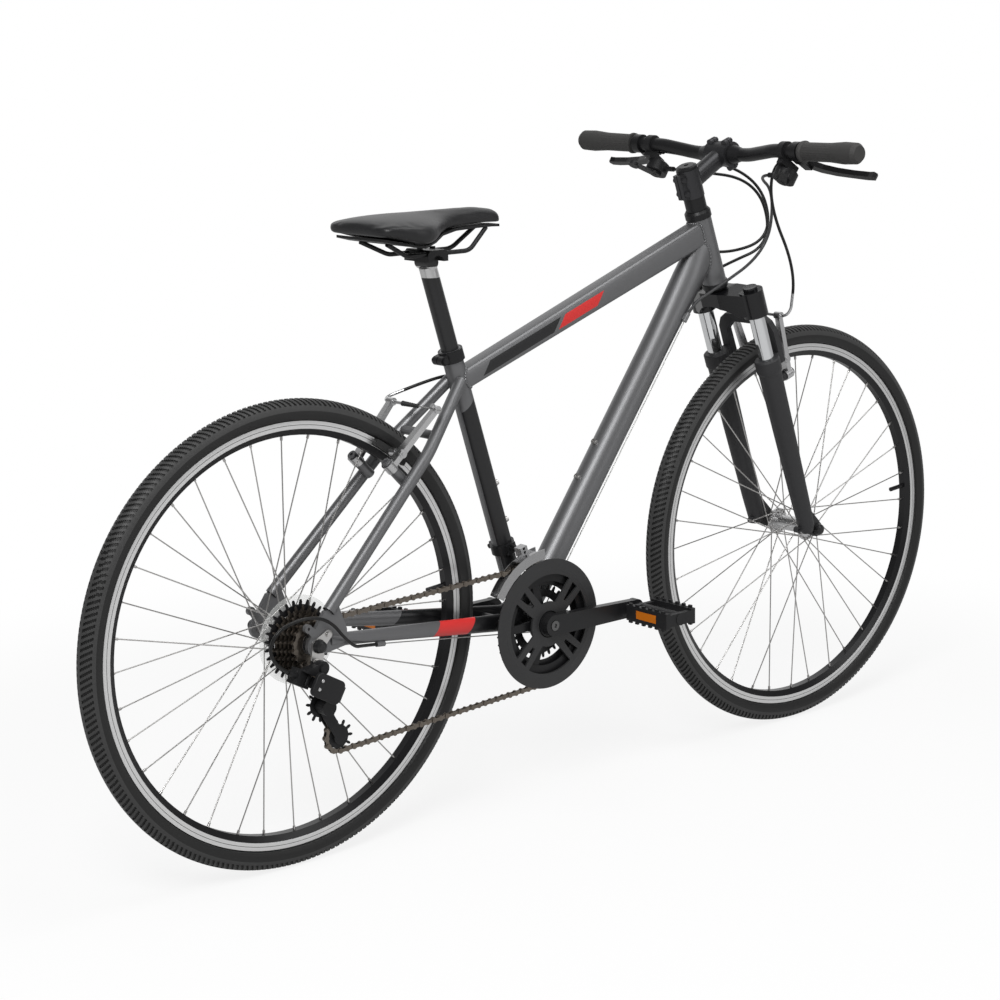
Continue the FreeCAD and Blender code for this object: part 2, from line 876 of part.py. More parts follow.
def make_tyre(centre):
    """A hollow tyre whose beads stand between the rim flanges."""
    bead_y = rim_width / 2 - rim_flange - seat_gap
    toe_y = bead_y - tyre_wall
    foot = bead_seat_radius + seat_gap
    lip = rim_flange_top + 0.7
    outer = tyre_section / 2
    inner = outer - tyre_wall
    crown = tyre_radius - outer
    diagonal = math.sqrt(0.5)
    edges = [line((foot, -bead_y), (foot, -toe_y)), line((foot, -toe_y), (lip, -toe_y)),
             arc((lip, -toe_y), (lip + 5.5, -inner * 0.84), (crown, -inner)),
             arc((crown, -inner), (crown + inner * diagonal, -inner * diagonal), (crown + inner, 0)),
             arc((crown + inner, 0), (crown + inner * diagonal, inner * diagonal), (crown, inner)),
             arc((crown, inner), (lip + 5.5, inner * 0.84), (lip, toe_y)),
             line((lip, toe_y), (foot, toe_y)), line((foot, toe_y), (foot, bead_y)),
             line((foot, bead_y), (lip, bead_y)),
             arc((lip, bead_y), (lip + 5.0, outer * 0.865), (crown, outer)),
             arc((crown, outer), (crown + outer * diagonal, outer * diagonal), (crown + outer, 0)),
             arc((crown + outer, 0), (crown + outer * diagonal, -outer * diagonal), (crown, -outer)),
             arc((crown, -outer), (lip + 5.0, -outer * 0.865), (lip, -bead_y)),
             line((lip, -bead_y), (foot, -bead_y))]
    return ring_of(edges, centre)


def rim_body(centre):
    """A box-section rim with a brake track, bead seats and a well."""
    half = rim_width / 2
    seat = half - rim_flange
    well = bead_seat_radius - rim_well_depth
    well_half = seat - tyre_wall - 0.5
    spine = rim_spine_width / 2
    track_low = rim_flange_top - brake_track_height
    outline = [(rim_flange_top, half), (track_low, half), (rim_inner_edge, spine), (rim_inner_edge, -spine),
               (track_low, -half), (rim_flange_top, -half), (rim_flange_top, -seat),
               (bead_seat_radius, -seat),
               (bead_seat_radius, -well_half), (well, -well_half), (well, well_half),
               (bead_seat_radius, well_half),
               (bead_seat_radius, seat), (rim_flange_top, seat)]
    top = well - rim_wall
    floor = rim_inner_edge + rim_wall
    cavity = [(top, half - rim_wall - 0.5), (floor, spine - rim_wall * 0.6),
              (floor, -spine + rim_wall * 0.6),
              (top, -half + rim_wall + 0.5)]
    body = ring_of([line(a, b) for a, b in zip(outline, outline[1:] + outline[:1])], centre)
    hollow = ring_of([line(a, b) for a, b in zip(cavity, cavity[1:] + cavity[:1])], centre)
    return body.cut(hollow)


def around(angle, radius, y):
    """A point at an angle round a wheel axle."""
    turn = math.radians(angle)
    return V(radius * math.cos(turn), y, radius * math.sin(turn))


def spoke_lines(left_flange, right_flange):
    """Elbow, rim end and head side of every spoke, relative to the hub."""
    lines = []
    step = 360.0 / spoke_count
    cross = spoke_crossings * 2 * step
    hole_radius = flange_radius - spoke_hole_inset
    for index in range(spoke_count):
        side = LEFT if index % 2 == 0 else RIGHT
        lead = 1 if (index // 2) % 2 == 0 else -1
        flange = left_flange if side == LEFT else -right_flange
        away = flange_thickness / 2 + spoke_radius + 0.15 + max(lead, 0) * elbow_lift
        elbow = around(step * index + lead * cross, hole_radius, flange + lead * side * away)
        tip = around(step * index, rim_inner_edge + rim_wall + 2.5, side * spoke_rim_offset)
        lines.append((elbow, tip, -lead * side))
    return lines


def nipple_of(elbow, tip, radius, extra=0.0):
    run = (tip - elbow).normalize()
    return rod(tip - run * (nipple_length + extra), tip + run * extra, radius)


def make_rim(centre, flanges):
    """The rim with its nipple holes, and the valve stem."""
    holes = [moved(nipple_of(elbow, tip, nipple_radius + seat_gap, 2), centre)
             for elbow, tip, head in spoke_lines(*flanges)]
    angle = 180.0 / spoke_count
    low = centre + around(angle, rim_inner_edge - valve_length, 0)
    high = centre + around(angle, bead_seat_radius - rim_well_depth, 0)
    valve = rod(low, high, valve_radius)
    rim = rim_body(centre).cut(Part.makeCompound(holes)).cut(rod(low, high, valve_radius + seat_gap))
    return [biggest(rim), valve]


def make_spokes(centre, flanges):
    """Wire spokes with elbows through the flanges, heads and rim nipples."""
    shapes = []
    for elbow, tip, head in spoke_lines(*flanges):
        reach = flange_thickness + 2 * spoke_radius + elbow_lift
        through = elbow + AXIS_Y * (head * reach)
        wire = rod(elbow, tip, spoke_radius)
        bend = Part.makeSphere(spoke_radius, elbow)
        stub = rod(elbow, through, spoke_radius)
        button = rod(through, through + AXIS_Y * (head * 0.9), spoke_radius * 1.7)
        parts = [wire, bend, stub, button, nipple_of(elbow, tip, nipple_radius)]
        shapes.append(moved(parts[0].fuse(parts[1:]), centre))
    return shapes


def flange_holes(flanges, centre):
    holes = []
    for elbow, tip, head in spoke_lines(*flanges):
        holes.append(moved(rod(elbow - AXIS_Y * 6, elbow + AXIS_Y * 6, spoke_radius + seat_gap), centre))
    return Part.makeCompound(holes)


front_flanges = (front_flange_offset, front_flange_offset)
rear_flanges = (rear_left_flange_offset, rear_right_flange_offset)
hub_end_gap = 10.0
front_hub_end = front_hub_width / 2 - hub_end_gap
rear_hub_left_end = rear_left_flange_offset + 10.0
freewheel_end = chain_line + 3.0
hub_boss_radius = 16.0


def make_front_hub():
    bore = axle_radius + running_gap
    half = flange_thickness / 2
    inner = front_flange_offset - half
    outer = front_flange_offset + half
    shell = front_shell_radius
    profile = [(-front_hub_end, bore), (-front_hub_end, 11), (-outer, 12.5), (-outer, flange_radius),
               (-inner, flange_radius), (-inner, shell + 1.5), (-inner + 9, shell - 2),
               (inner - 9, shell - 2),
               (inner, shell + 1.5), (inner, flange_radius), (outer, flange_radius), (outer, 12.5),
               (front_hub_end, 11), (front_hub_end, bore)]
    return [turned(profile, front_axle, AXIS_Y).cut(flange_holes(front_flanges, front_axle))]


def make_rear_hub():
    bore = axle_radius + running_gap
    half = flange_thickness / 2
    shell = rear_shell_radius
    right = -rear_right_flange_offset
    left = rear_left_flange_offset
    profile = [(-freewheel_end, bore), (-freewheel_end, hub_boss_radius), (right - half, hub_boss_radius),
               (right - half, flange_radius), (right + half, flange_radius), (right + half, shell + 1.5),
               (right + half + 7, shell - 1), (left - half - 7, shell - 1), (left - half, shell + 1.5),
               (left - half, flange_radius), (left + half, flange_radius), (left + half, 14),
               (rear_hub_left_end, 12), (rear_hub_left_end, bore)]
    return [turned(profile, rear_axle, AXIS_Y).cut(flange_holes(rear_flanges, rear_axle))]


def make_protector():
    """A clear ring between the spokes and the largest sprocket."""
    low = rear_axle - AXIS_Y * protector_y
    high = low - AXIS_Y * protector_thickness
    ring = pipe(high, low, protector_radius, hub_boss_radius + seat_gap)
    windows = []
    for index in range(6):
        spot = rear_axle + around(60 * index, (protector_radius + hub_boss_radius) / 2, 0)
        windows.append(rod(spot - AXIS_Y * 40, spot, 11.0))
    return [ring.cut(windows)]


def wheel_axle(centre, width, left_end, right_end, lever_angle):
    """Axle with lock nuts, a quick-release skewer, its nut on the right and its lever on the left."""
    left_in, left_out = left_end
    right_in, right_out = right_end
    half = width / 2
    shaft = turned([(-right_out + 0.5, skewer_radius + seat_gap), (-right_out + 0.5, axle_radius),
                    (-half, axle_radius),
                    (-half, cone_radius), (-right_in - free_gap, cone_radius),
                    (-right_in - free_gap, axle_radius),
                    (left_in + free_gap, axle_radius), (left_in + free_gap, cone_radius),
                    (half, cone_radius),
                    (half, axle_radius), (left_out - 0.5, axle_radius),
                    (left_out - 0.5, skewer_radius + seat_gap)],
                   centre, AXIS_Y)
    nut_start = right_out + (hanger_thickness if centre.x < 0 else 0)
    nut = turned([(-nut_start - 11, 0), (-nut_start - 11, 5), (-nut_start - 9, 8.5), (-nut_start - 2, 10.5),
                  (-nut_start, 10.5), (-nut_start, skewer_radius), (left_out, skewer_radius),
                  (left_out, 10.0),
                  (left_out + 4, 10.0), (left_out + 5, 8.0), (left_out + 15, 8.0), (left_out + 16, 6.0),
                  (left_out + 16, 0)], centre, AXIS_Y)
    root = centre + AXIS_Y * (left_out + 10)
    turn = math.radians(lever_angle)
    along = V(math.cos(turn), 0, math.sin(turn))
    tip = root + along * 52 + AXIS_Y * 3
    arm = rod(root, tip, 4.0, 5.6)
    ball = Part.makeSphere(6.8, tip)
    return [shaft, joined([nut, arm, ball])]


def make_rear_axle():
    outer = rear_hub_width / 2 + dropout_thickness
    return wheel_axle(rear_axle, rear_hub_width, (rear_hub_left_end, outer), (freewheel_end, outer), 40)


def make_front_axle():
    outer = front_hub_width / 2 + fork_end_thickness
    return wheel_axle(front_axle, front_hub_width, (front_hub_end, outer), (front_hub_end, outer), 110)


# The drive train.


def pitch_radius(teeth):
    return chain_pitch / 2 / math.sin(math.pi / teeth)


def toothed_plate(teeth, bore, thickness, centre, phase):
    """A flat toothed ring about an axle, with one tooth gap at the phase angle."""
    radius = pitch_radius(teeth)
    seat = roller_radius + tooth_gap
    root = radius - seat
    tip = radius + tooth_height
    half = 180.0 / teeth
    root_turn = math.degrees(math.asin(0.83 * seat / root))
    side_turn = math.degrees(math.asin(seat / radius))
    tip_turn = half - math.degrees(tooth_tip_width / 2 / tip)
    points = []
    for index in range(teeth):
        middle = phase + 2 * half * index
        for turn, reach in ((-tip_turn, tip), (-side_turn, radius), (-root_turn, root),
                            (root_turn, root), (side_turn, radius), (tip_turn, tip)):
            points.append(centre + around(middle + turn, reach, -thickness / 2))
    plate = slab(points, AXIS_Y * thickness)
    return plate.cut(rod(centre - AXIS_Y * thickness, centre + AXIS_Y * thickness, bore))


def tangent_normal(first, second):
    """The unit normal of the chain run that leaves one toothed wheel for the next."""
    (x1, z1, r1), (x2, z2, r2) = first, second
    dx = x2 - x1
    dz = z2 - z1
    far = math.hypot(dx, dz)
    dx /= far
    dz /= far
    lean = (r1 - r2) / far
    rise = math.sqrt(1 - lean * lean)
    return lean * dx - rise * dz, lean * dz + rise * dx


def chain_stretches(cage_angle):
    """Straight and round stretches of the chain's path, from the rear sprocket forward over the top."""
    guide_x = rear_axle.x + guide_ahead
    guide_z = rear_axle.z - guide_drop
    turn = math.radians(cage_angle)
    small = pitch_radius(pulley_teeth)
    wheels = [
        (rear_axle.x, rear_axle.z, pitch_radius(sprocket_teeth[0])),
        (bracket.x, bracket.z, pitch_radius(ring_teeth[0])),
        (guide_x + cage_length * math.cos(turn), guide_z + cage_length * math.sin(turn), small),
        (guide_x, guide_z, -small),
    ]
    normals = [tangent_normal(a, b) for a, b in zip(wheels, wheels[1:] + wheels[:1])]
    stretches = []
    for index, wheel in enumerate(wheels):
        following = wheels[(index + 1) % 4]
        nx, nz = normals[index]
        start = (wheel[0] + wheel[2] * nx, wheel[1] + wheel[2] * nz)
        end = (following[0] + following[2] * nx, following[1] + following[2] * nz)
        stretches.append(("run", start, end, math.dist(start, end)))
        mx, mz = normals[(index + 1) % 4]
        sense = -1 if following[2] > 0 else 1
        first = math.atan2(nz * following[2], nx * following[2])
        last = math.atan2(mz * following[2], mx * following[2])
        sweep = (sense * (last - first)) % (2 * math.pi)
        stretches.append(("bend", following, (first, sense), sweep * abs(following[2])))
    return stretches


def point_on(stretches, distance):
    """The point of the chain's path at a distance along it."""
    total = sum(stretch[3] for stretch in stretches)
    distance = distance % total
    for kind, first, second, length in stretches:
        if distance <= length:
            break
        distance -= length
    if kind == "run":
        share = distance / length
        return first[0] + (second[0] - first[0]) * share, first[1] + (second[1] - first[1]) * share
    radius = abs(first[2])
    turn = second[0] + second[1] * distance / radius
    return first[0] + radius * math.cos(turn), first[1] + radius * math.sin(turn)


def rollers_along(stretches):
    """Roller centres one pitch apart, and the part of a pitch left over at the end."""
    total = sum(stretch[3] for stretch in stretches)
    distance = 0.0
    points = [point_on(stretches, 0.0)]
    while True:
        low = distance + chain_pitch * 0.9
        high = distance + chain_pitch * 1.2
        for step in range(40):
            middle = (low + high) / 2
            if math.dist(point_on(stretches, middle), points[-1]) < chain_pitch:
                low = middle
            else:
                high = middle
        if high > total:
            return points, (total - distance) / chain_pitch
        distance = high
        points.append(point_on(stretches, distance))


def chain_count(cage_angle):
    points, rest = rollers_along(chain_stretches(cage_angle))
    return len(points) - 1 + rest


def chain_layout():
    """The cage angle at which a whole even number of links closes the loop, and the roller centres."""
    wanted = 2 * round(chain_count(cage_start_angle) / 2)
    low = cage_start_angle - 12
    high = cage_start_angle + 12
    rising = chain_count(high) > chain_count(low)
    for step in range(40):
        middle = (low + high) / 2
        if (chain_count(middle) < wanted) == rising:
            low = middle
        else:
            high = middle
    points, rest = rollers_along(chain_stretches(low))
    return low, points[:wanted]


cage_angle, chain_points = chain_layout()
guide_axle = rear_axle + V(guide_ahead, -chain_line, -guide_drop)
cage_turn = math.radians(cage_angle)
cage_run = V(math.cos(cage_turn), 0, math.sin(cage_turn))
tension_axle = guide_axle + cage_run * cage_length


def gap_phase(centre, teeth):
    """The angle of a roller that sits on a toothed wheel."""
    radius = pitch_radius(teeth)
    best = min(chain_points, key=lambda point: abs(math.dist(point, (centre.x, centre.z)) - radius))
    return math.degrees(math.atan2(best[1] - centre.z, best[0] - centre.x))


def link_plate_shape(offset, half_height, waist):
    """One link plate in the XZ plane from the first roller centre to the next."""
    start = V(0, offset, 0)
    end = V(chain_pitch, offset, 0)
    thick = AXIS_Y * link_plate
    web = slab([V(0, offset, -waist), V(chain_pitch, offset, -waist), V(chain_pitch, offset, waist),
                V(0, offset, waist)], thick)
    return joined([rod(start, start + thick, half_height), rod(end, end + thick, half_height), web])


def inner_link():
    """Two plates with two rollers between them, bored for the pins."""
    half = roller_width / 2
    shapes = [link_plate_shape(half, link_height / 2, link_height * 0.33),
              link_plate_shape(-half - link_plate, link_height / 2, link_height * 0.33)]
    bores = []
    for x in (0, chain_pitch):
        shapes.append(rod(V(x, -half, 0), V(x, half, 0), roller_radius))
        bores.append(rod(V(x, -6, 0), V(x, 6, 0), pin_radius + 0.1))
    return joined(shapes).cut(bores)


def outer_link():
    """Two plates joined by two pins."""
    half = roller_width / 2 + link_plate + 0.1
    shapes = [link_plate_shape(half, link_height / 2 - 0.1, link_height * 0.3),
              link_plate_shape(-half - link_plate, link_height / 2 - 0.1, link_height * 0.3)]
    for x in (0, chain_pitch):
        shapes.append(rod(V(x, -pin_length / 2, 0), V(x, pin_length / 2, 0), pin_radius))
    return joined(shapes)


def make_chain():
    """One rigid link for every pitch, inner and outer in turn."""
    kinds = (inner_link(), outer_link())
    shapes = []
    for index, point in enumerate(chain_points):
        onward = chain_points[(index + 1) % len(chain_points)]
        turn = math.degrees(math.atan2(onward[1] - point[1], onward[0] - point[0]))
        link = spun(kinds[index % 2], V(0, 0, 0), AXIS_Y, -turn)
        shapes.append(moved(link, V(point[0], -chain_line, point[1])))
    return shapes


def make_sprockets():
    """Seven sprockets on the freewheel body."""
    inner = -chain_line + sprocket_spacing * (len(sprocket_teeth) - 1) + sprocket_thickness / 2
    body = pipe(rear_axle + AXIS_Y * -(freewheel_end - 0.5), rear_axle + AXIS_Y * inner, freewheel_radius,
                hub_boss_radius + running_gap)
    shapes = [body]
    for index, teeth in enumerate(sprocket_teeth):
        centre = rear_axle + AXIS_Y * (-chain_line + sprocket_spacing * index)
        phase = gap_phase(rear_axle, teeth) if index == 0 else 0
        plate = toothed_plate(teeth, freewheel_radius, sprocket_thickness, centre, phase)
        if teeth >= 20:
            reach = pitch_radius(teeth) - 15
            holes = [rod(centre + around(60 * k, (reach + freewheel_radius) / 2 + 2, -3),
                         centre + around(60 * k, (reach + freewheel_radius) / 2 + 2, 3),
                         (reach - freewheel_radius) / 2) for k in range(6)]
            plate = plate.cut(holes)
        shapes.append(plate)
    return shapes


def ring_plane(index):
    return -chain_line + ring_spacing * index


def make_chainrings():
    """Three chainrings on a five-armed spider."""
    shapes = []
    for index, teeth in enumerate(ring_teeth):
        centre = bracket + AXIS_Y * ring_plane(index)
        phase = gap_phase(bracket, teeth) if index == 0 else 0
        root = pitch_radius(teeth) - roller_radius
        band = ring_band * 2 if index == 0 else ring_band
        shapes.append(toothed_plate(teeth, root - band, sprocket_thickness, centre, phase))
    outer_face = ring_plane(0) + sprocket_thickness / 2
    inner_face = ring_plane(1) - sprocket_thickness / 2
    low = bracket + AXIS_Y * outer_face
    high = bracket + AXIS_Y * inner_face
    neck = bracket - AXIS_Y * crank_inner_face
    arms = [rod(low, high, spider_hub_radius), rod(neck, high, spider_neck_radius)]
    reach = pitch_radius(ring_teeth[1]) - 6
    small_ring = pitch_radius(ring_teeth[2]) - roller_radius - ring_band / 2
    for index in range(5):
        bar = slab([low + V(0, 0, -8), low + V(reach, 0, -6), low + V(reach, 0, 6), low + V(0, 0, 8)],
                   high - low)
        post_top = bracket + AXIS_Y * (ring_plane(2) - sprocket_thickness / 2)
        post = rod(high + V(small_ring, 0, 0), post_top + V(small_ring, 0, 0), 4.5)
        arms.append(spun(joined([bar, post]), bracket, AXIS_Y, 72 * index + 36))
    bore = rod(bracket - AXIS_Y * 90, bracket, spindle_radius + seat_gap)
    shapes.append(joined(arms).cut(bore))
    return shapes


def make_chain_guard():
    """A wide outer band, a hub ring and four forked arms, on four posts against the large ring."""
    outer = bracket - AXIS_Y * (guard_y + guard_thickness)
    inner = bracket - AXIS_Y * guard_y
    thick = AXIS_Y * guard_thickness
    band_inner = guard_radius - guard_band
    edge = inner - AXIS_Y * (guard_thickness * 0.4)
    dish = rod(edge, outer, guard_radius, guard_radius - guard_dish)
    band = joined([rod(inner, edge, guard_radius), dish])
    parts = [band.cut(rod(outer - thick, inner + thick, band_inner)),
             pipe(outer, inner, guard_hub_radius, spider_neck_radius + 1.5)]
    near = guard_arm_width * 0.85
    far = guard_arm_width * 1.1
    start = spider_neck_radius + 6
    end = band_inner + 4
    slot_start = guard_hub_radius + 10
    for index in range(4):
        arm = slab([outer + V(start, 0, -near), outer + V(end, 0, -far), outer + V(end, 0, far),
                    outer + V(start, 0, near)], thick)
        slot = slab([outer + V(slot_start, 0, -near * 0.2), outer + V(band_inner - 2, 0, -far * 0.4),
                     outer + V(band_inner - 2, 0, far * 0.4), outer + V(slot_start, 0, near * 0.2)], thick)
        parts.append(spun(arm.cut(slot), bracket, AXIS_Y, 90 * index + 45))
        foot = bracket + V(guard_post_radius, -chain_line - sprocket_thickness / 2, 0)
        post = rod(foot, foot - AXIS_Y * (guard_y - chain_line), 4.0)
        parts.append(spun(post, bracket, AXIS_Y, 90 * index + 45))
    return [joined(parts)]


def crank_side(side, forward):
    """One crank arm with its bolt and pedal axle. Forward is plus or minus one."""
    def spot(x, y, z=0.0):
        return bracket + V(forward * x, side * y, z)

    inner = crank_inner_face
    outer = inner + crank_thickness
    eye_inner = inner + crank_cant
    eye_outer = eye_inner + crank_thickness
    boss = rod(spot(0, inner), spot(0, outer), crank_boss_radius)
    eye = rod(spot(crank_length, eye_inner), spot(crank_length, eye_outer), crank_eye_radius)
    tall = crank_boss_radius - 0.8
    slim = crank_eye_radius - 0.8
    start = 2.0
    stop = crank_length - 2.0
    near = [spot(start, inner + 0.1, -tall), spot(start, outer - 0.1, -tall), spot(start, outer - 0.1, tall),
            spot(start, inner + 0.1, tall)]
    far = [spot(stop, eye_inner + 0.1, -slim), spot(stop, eye_outer - 0.1, -slim),
           spot(stop, eye_outer - 0.1, slim),
           spot(stop, eye_inner + 0.1, slim)]
    bar = loft([Part.makePolygon(near + near[:1]), Part.makePolygon(far + far[:1])], True)
    spindle_hole = rod(spot(0, 0), spot(0, 100), spindle_radius + seat_gap)
    eye_hole = rod(spot(crank_length, 50), spot(crank_length, 100), pedal_thread_radius + seat_gap)
    arm = joined([boss, eye, bar]).cut([spindle_hole, eye_hole])
    bolt = rod(spot(0, outer - 3), spot(0, outer + 1), crank_bolt_radius)
    socket = Part.makePolygon([spot(3.5 * math.cos(k * math.pi / 3), outer - 1,
                                    3.5 * math.sin(k * math.pi / 3))
                               for k in range(7)])
    bolt = bolt.cut(Part.Face(socket).extrude(AXIS_Y * (side * 4)))
    screw = rod(spot(crank_length, eye_inner), spot(crank_length, eye_outer), pedal_thread_radius)
    collar = rod(spot(crank_length, eye_outer), spot(crank_length, eye_outer + pedal_collar),
                 pedal_thread_radius + 1)
    stem = rod(spot(crank_length, eye_outer + pedal_collar), spot(crank_length, pedal_outer_face() - 3),
               pedal_spindle_radius)
    return [arm, bolt, joined([screw, collar, stem])]


def pedal_inner_face():
    return crank_inner_face + crank_cant + crank_thickness + pedal_collar + free_gap


def pedal_outer_face():
    return pedal_inner_face() + pedal_width


def make_cranks():
    reach = crank_inner_face + crank_thickness - 3
    spindle = rod(bracket - AXIS_Y * reach, bracket + AXIS_Y * reach, spindle_radius)
    return crank_side(RIGHT, 1) + crank_side(LEFT, -1) + [spindle]


def make_pedal(side, forward):
    """A cage pedal with toothed rails and a reflector on each long edge."""
    axle = bracket + V(forward * crank_length, 0, 0)

    def spot(x, y, z):
        return axle + V(x, side * y, z)

    def box(x0, x1, y0, y1, z0, z1):
        base = [spot(x0, y0, z0), spot(x1, y0, z0), spot(x1, y0, z1), spot(x0, y0, z1)]
        return slab(base, AXIS_Y * (side * (y1 - y0)))

    near = pedal_inner_face()
    far = pedal_outer_face()
    half = pedal_length / 2
    high = pedal_height / 2
    parts = [rod(spot(0, near, 0), spot(0, far, 0), pedal_barrel_radius)]
    parts.append(box(-half, half, near + 2, near + 10, -high + 3, high - 3))
    parts.append(box(-half, half, far - 10, far - 1, -high + 3, high - 3))
    pockets = []
    shapes = []
    for end in (-1, 1):
        rail = sorted((end * (half - pedal_rail), end * half))
        parts.append(box(rail[0], rail[1], near + 2, far - 1, -high, high))
        for index in range(6):
            middle = near + 10 + index * (pedal_width - 20) / 5
            for up in (-1, 1):
                tooth = sorted((up * (high - 1), up * (high + pedal_tooth)))
                edge = sorted((end * (half - 4), end * half))
                parts.append(box(edge[0], edge[1], middle - 3, middle + 3, tooth[0], tooth[1]))
        lens = sorted((end * (half - reflector_thickness), end * (half + 0.5)))
        centre = (near + far) / 2
        span = (centre - reflector_width / 2, centre + reflector_width / 2)
        tall = reflector_height / 2
        pocket = sorted((end * (half - reflector_thickness), end * (half + 1.0)))
        pockets.append(box(pocket[0], pocket[1], span[0], span[1], -tall, tall))
        shapes.append(box(lens[0], lens[1], span[0], span[1], -tall, tall))
    bore = rod(spot(0, near - 1, 0), spot(0, far - 2, 0), pedal_spindle_radius + running_gap)
    body = joined(parts).cut(pockets + [bore])
    return [body] + shapes


def ring_at(angle, radius, y):
    """A point at an angle round the bottom bracket."""
    return bracket + around(angle, radius, y)


def cage_wall(y0, y1, start, end, low, high):
    """A curved plate that follows the chainrings between two angles."""
    outer = pipe(bracket + AXIS_Y * y0, bracket + AXIS_Y * y1, high, low)
    far = high * 2
    wedge = slab([ring_at(0, 0, y0 - 1), ring_at(start, far, y0 - 1),
                  ring_at((start + end) / 2, far, y0 - 1),
                  ring_at(end, far, y0 - 1)], AXIS_Y * (y1 - y0 + 2))
    return outer.common(wedge)


def clamp_frame(along, across, y):
    """A point by its place along and ahead of the seat tube, beside the front derailleur band."""
    return seat_at(along, -across, y)


def clamp_box(low, high, across, y0, y1):
    base = [clamp_frame(low, -across, y0), clamp_frame(high, -across, y0), clamp_frame(high, across, y0),
            clamp_frame(low, across, y0)]
    return slab(base, AXIS_Y * (y1 - y0))


def slide_pins(radius, y0, y1):
    low = band_along + band_height * 0.4
    high = band_along + band_height * 0.8
    return [rod(clamp_frame(place, 0, y0), clamp_frame(place, 0, y1), radius) for place in (low, high)]


def make_front_derailleur_clamp():
    """The band on the seat tube with the two guide pins that carry the cage."""
    top = band_along + band_height
    ring = pipe(seat_at(band_along), seat_at(top), seat_tube_radius + 3.5, seat_tube_radius)
    block = clamp_box(band_along, top, 9, -carrier_inner + carrier_throw + 1, -8)
    lug = clamp_box(band_along + 3, top - 3, 4, 14, 28)
    body = joined([ring, block, lug]).cut(seat_tube_core())
    pins = slide_pins(slide_pin_radius, -carrier_outer, -carrier_inner + carrier_throw + 2)
    bolt = rod(clamp_frame(band_along + band_height / 2, -9, 23),
               clamp_frame(band_along + band_height / 2, -4, 23), 4)
    return [joined([biggest(body)] + pins + [bolt])]


def make_front_derailleur_cage():
    """Two curved plates either side of the chain, on a carrier that slides on the pins."""
    inner_plate = cage_wall(-cage_inner_y - cage_sheet, -cage_inner_y, 97, 150, cage_low, cage_high + 4)
    outer_plate = cage_wall(-cage_outer_y - cage_sheet, -cage_outer_y, 93, 150, cage_low, cage_high)
    roof = cage_wall(-cage_outer_y - cage_sheet, -cage_inner_y, 100, 118, cage_high - cage_sheet, cage_high)
    tail_radius = (cage_low + cage_high) / 2
    tail = rod(ring_at(147, tail_radius, -cage_outer_y), ring_at(147, tail_radius, -cage_inner_y), 2.5)
    carrier = clamp_box(band_along + 0.5, band_along + band_height - 0.5, 7, -cage_inner_y - cage_sheet,
                        -carrier_inner)
    bores = slide_pins(slide_pin_radius + running_gap, -cage_inner_y - cage_sheet - 1, -carrier_inner + 1)
    body = joined([inner_plate, outer_plate, roof, tail, carrier]).cut(bores)
    return [biggest(body)]


# The rear derailleur. Its links turn about an axis square to their own line and the wheel axle.
link_turn = math.radians(derailleur_link_down)
link_level = V(math.cos(link_turn), 0, -math.sin(link_turn))
link_axis = V(math.sin(link_turn), 0, math.cos(link_turn))
link_throw = math.radians(derailleur_throw)
link_run = link_level * math.cos(link_throw) - AXIS_Y * math.sin(link_throw)
hanger_bolt = rear_axle + V(-hanger_back, 0, -hanger_drop)
link_root = hanger_bolt - link_level * 10 - link_axis * 24 - AXIS_Y * derailleur_y
link_end = link_root + link_run * derailleur_link_length
link_gap = AXIS_Y * derailleur_link_gap


def link_spot(base, along, up, y=0.0):
    """A point beside a link pivot: along the level link line, along the pivot axis and sideways."""
    return base + link_level * along + link_axis * up + AXIS_Y * y


def link_box(base, along, up, y):
    """A block beside a link pivot, from pairs of limits."""
    corners = [link_spot(base, along[0], up[0], y[0]), link_spot(base, along[1], up[0], y[0]),
               link_spot(base, along[1], up[1], y[0]), link_spot(base, along[0], up[1], y[0])]
    return slab(corners, AXIS_Y * (y[1] - y[0]))


def make_link(side):
    """One bar of the parallelogram with an eye at each end."""
    first = link_root + link_gap * side
    last = link_end + link_gap * side
    half = link_axis * (derailleur_link_width / 2)
    eye = derailleur_pin_radius + 2.6
    bar = slab([first - half, last - half, last + half, first + half], link_run.cross(link_axis) * link_bar)
    bar = moved(bar, link_run.cross(link_axis) * (-link_bar / 2))
    parts = [bar, rod(first - half, first + half, eye), rod(last - half, last + half, eye)]
    bores = [rod(spot - half * 2, spot + half * 2,
                 derailleur_pin_radius + running_gap) for spot in (first, last)]
    return [joined(parts).cut(bores)]


def link_ears(base, direction):
    """Upper and lower ears with the two pins that carry the link eyes, on the side away from the links."""
    half = derailleur_link_width / 2
    parts = []
    eye = derailleur_pin_radius + 2.6
    wide = derailleur_link_gap + eye
    for up in (-1, 1):
        low = up * (half + free_gap)
        high = up * (half + free_gap + 3.5)
        limits = sorted((low, high))
        parts.append(link_box(base, sorted((direction * -4, direction * 9)), limits, (-wide, wide)))
    parts.append(link_box(base, sorted((direction * 6.5, direction * 20)),
                          (-half - free_gap - 3.5, half + free_gap + 3.5),
                          (-wide, wide)))
    for side in (-1, 1):
        spot = base + link_gap * side
        parts.append(rod(link_spot(spot, 0, -half - 3), link_spot(spot, 0, half + 3), derailleur_pin_radius))
    return parts


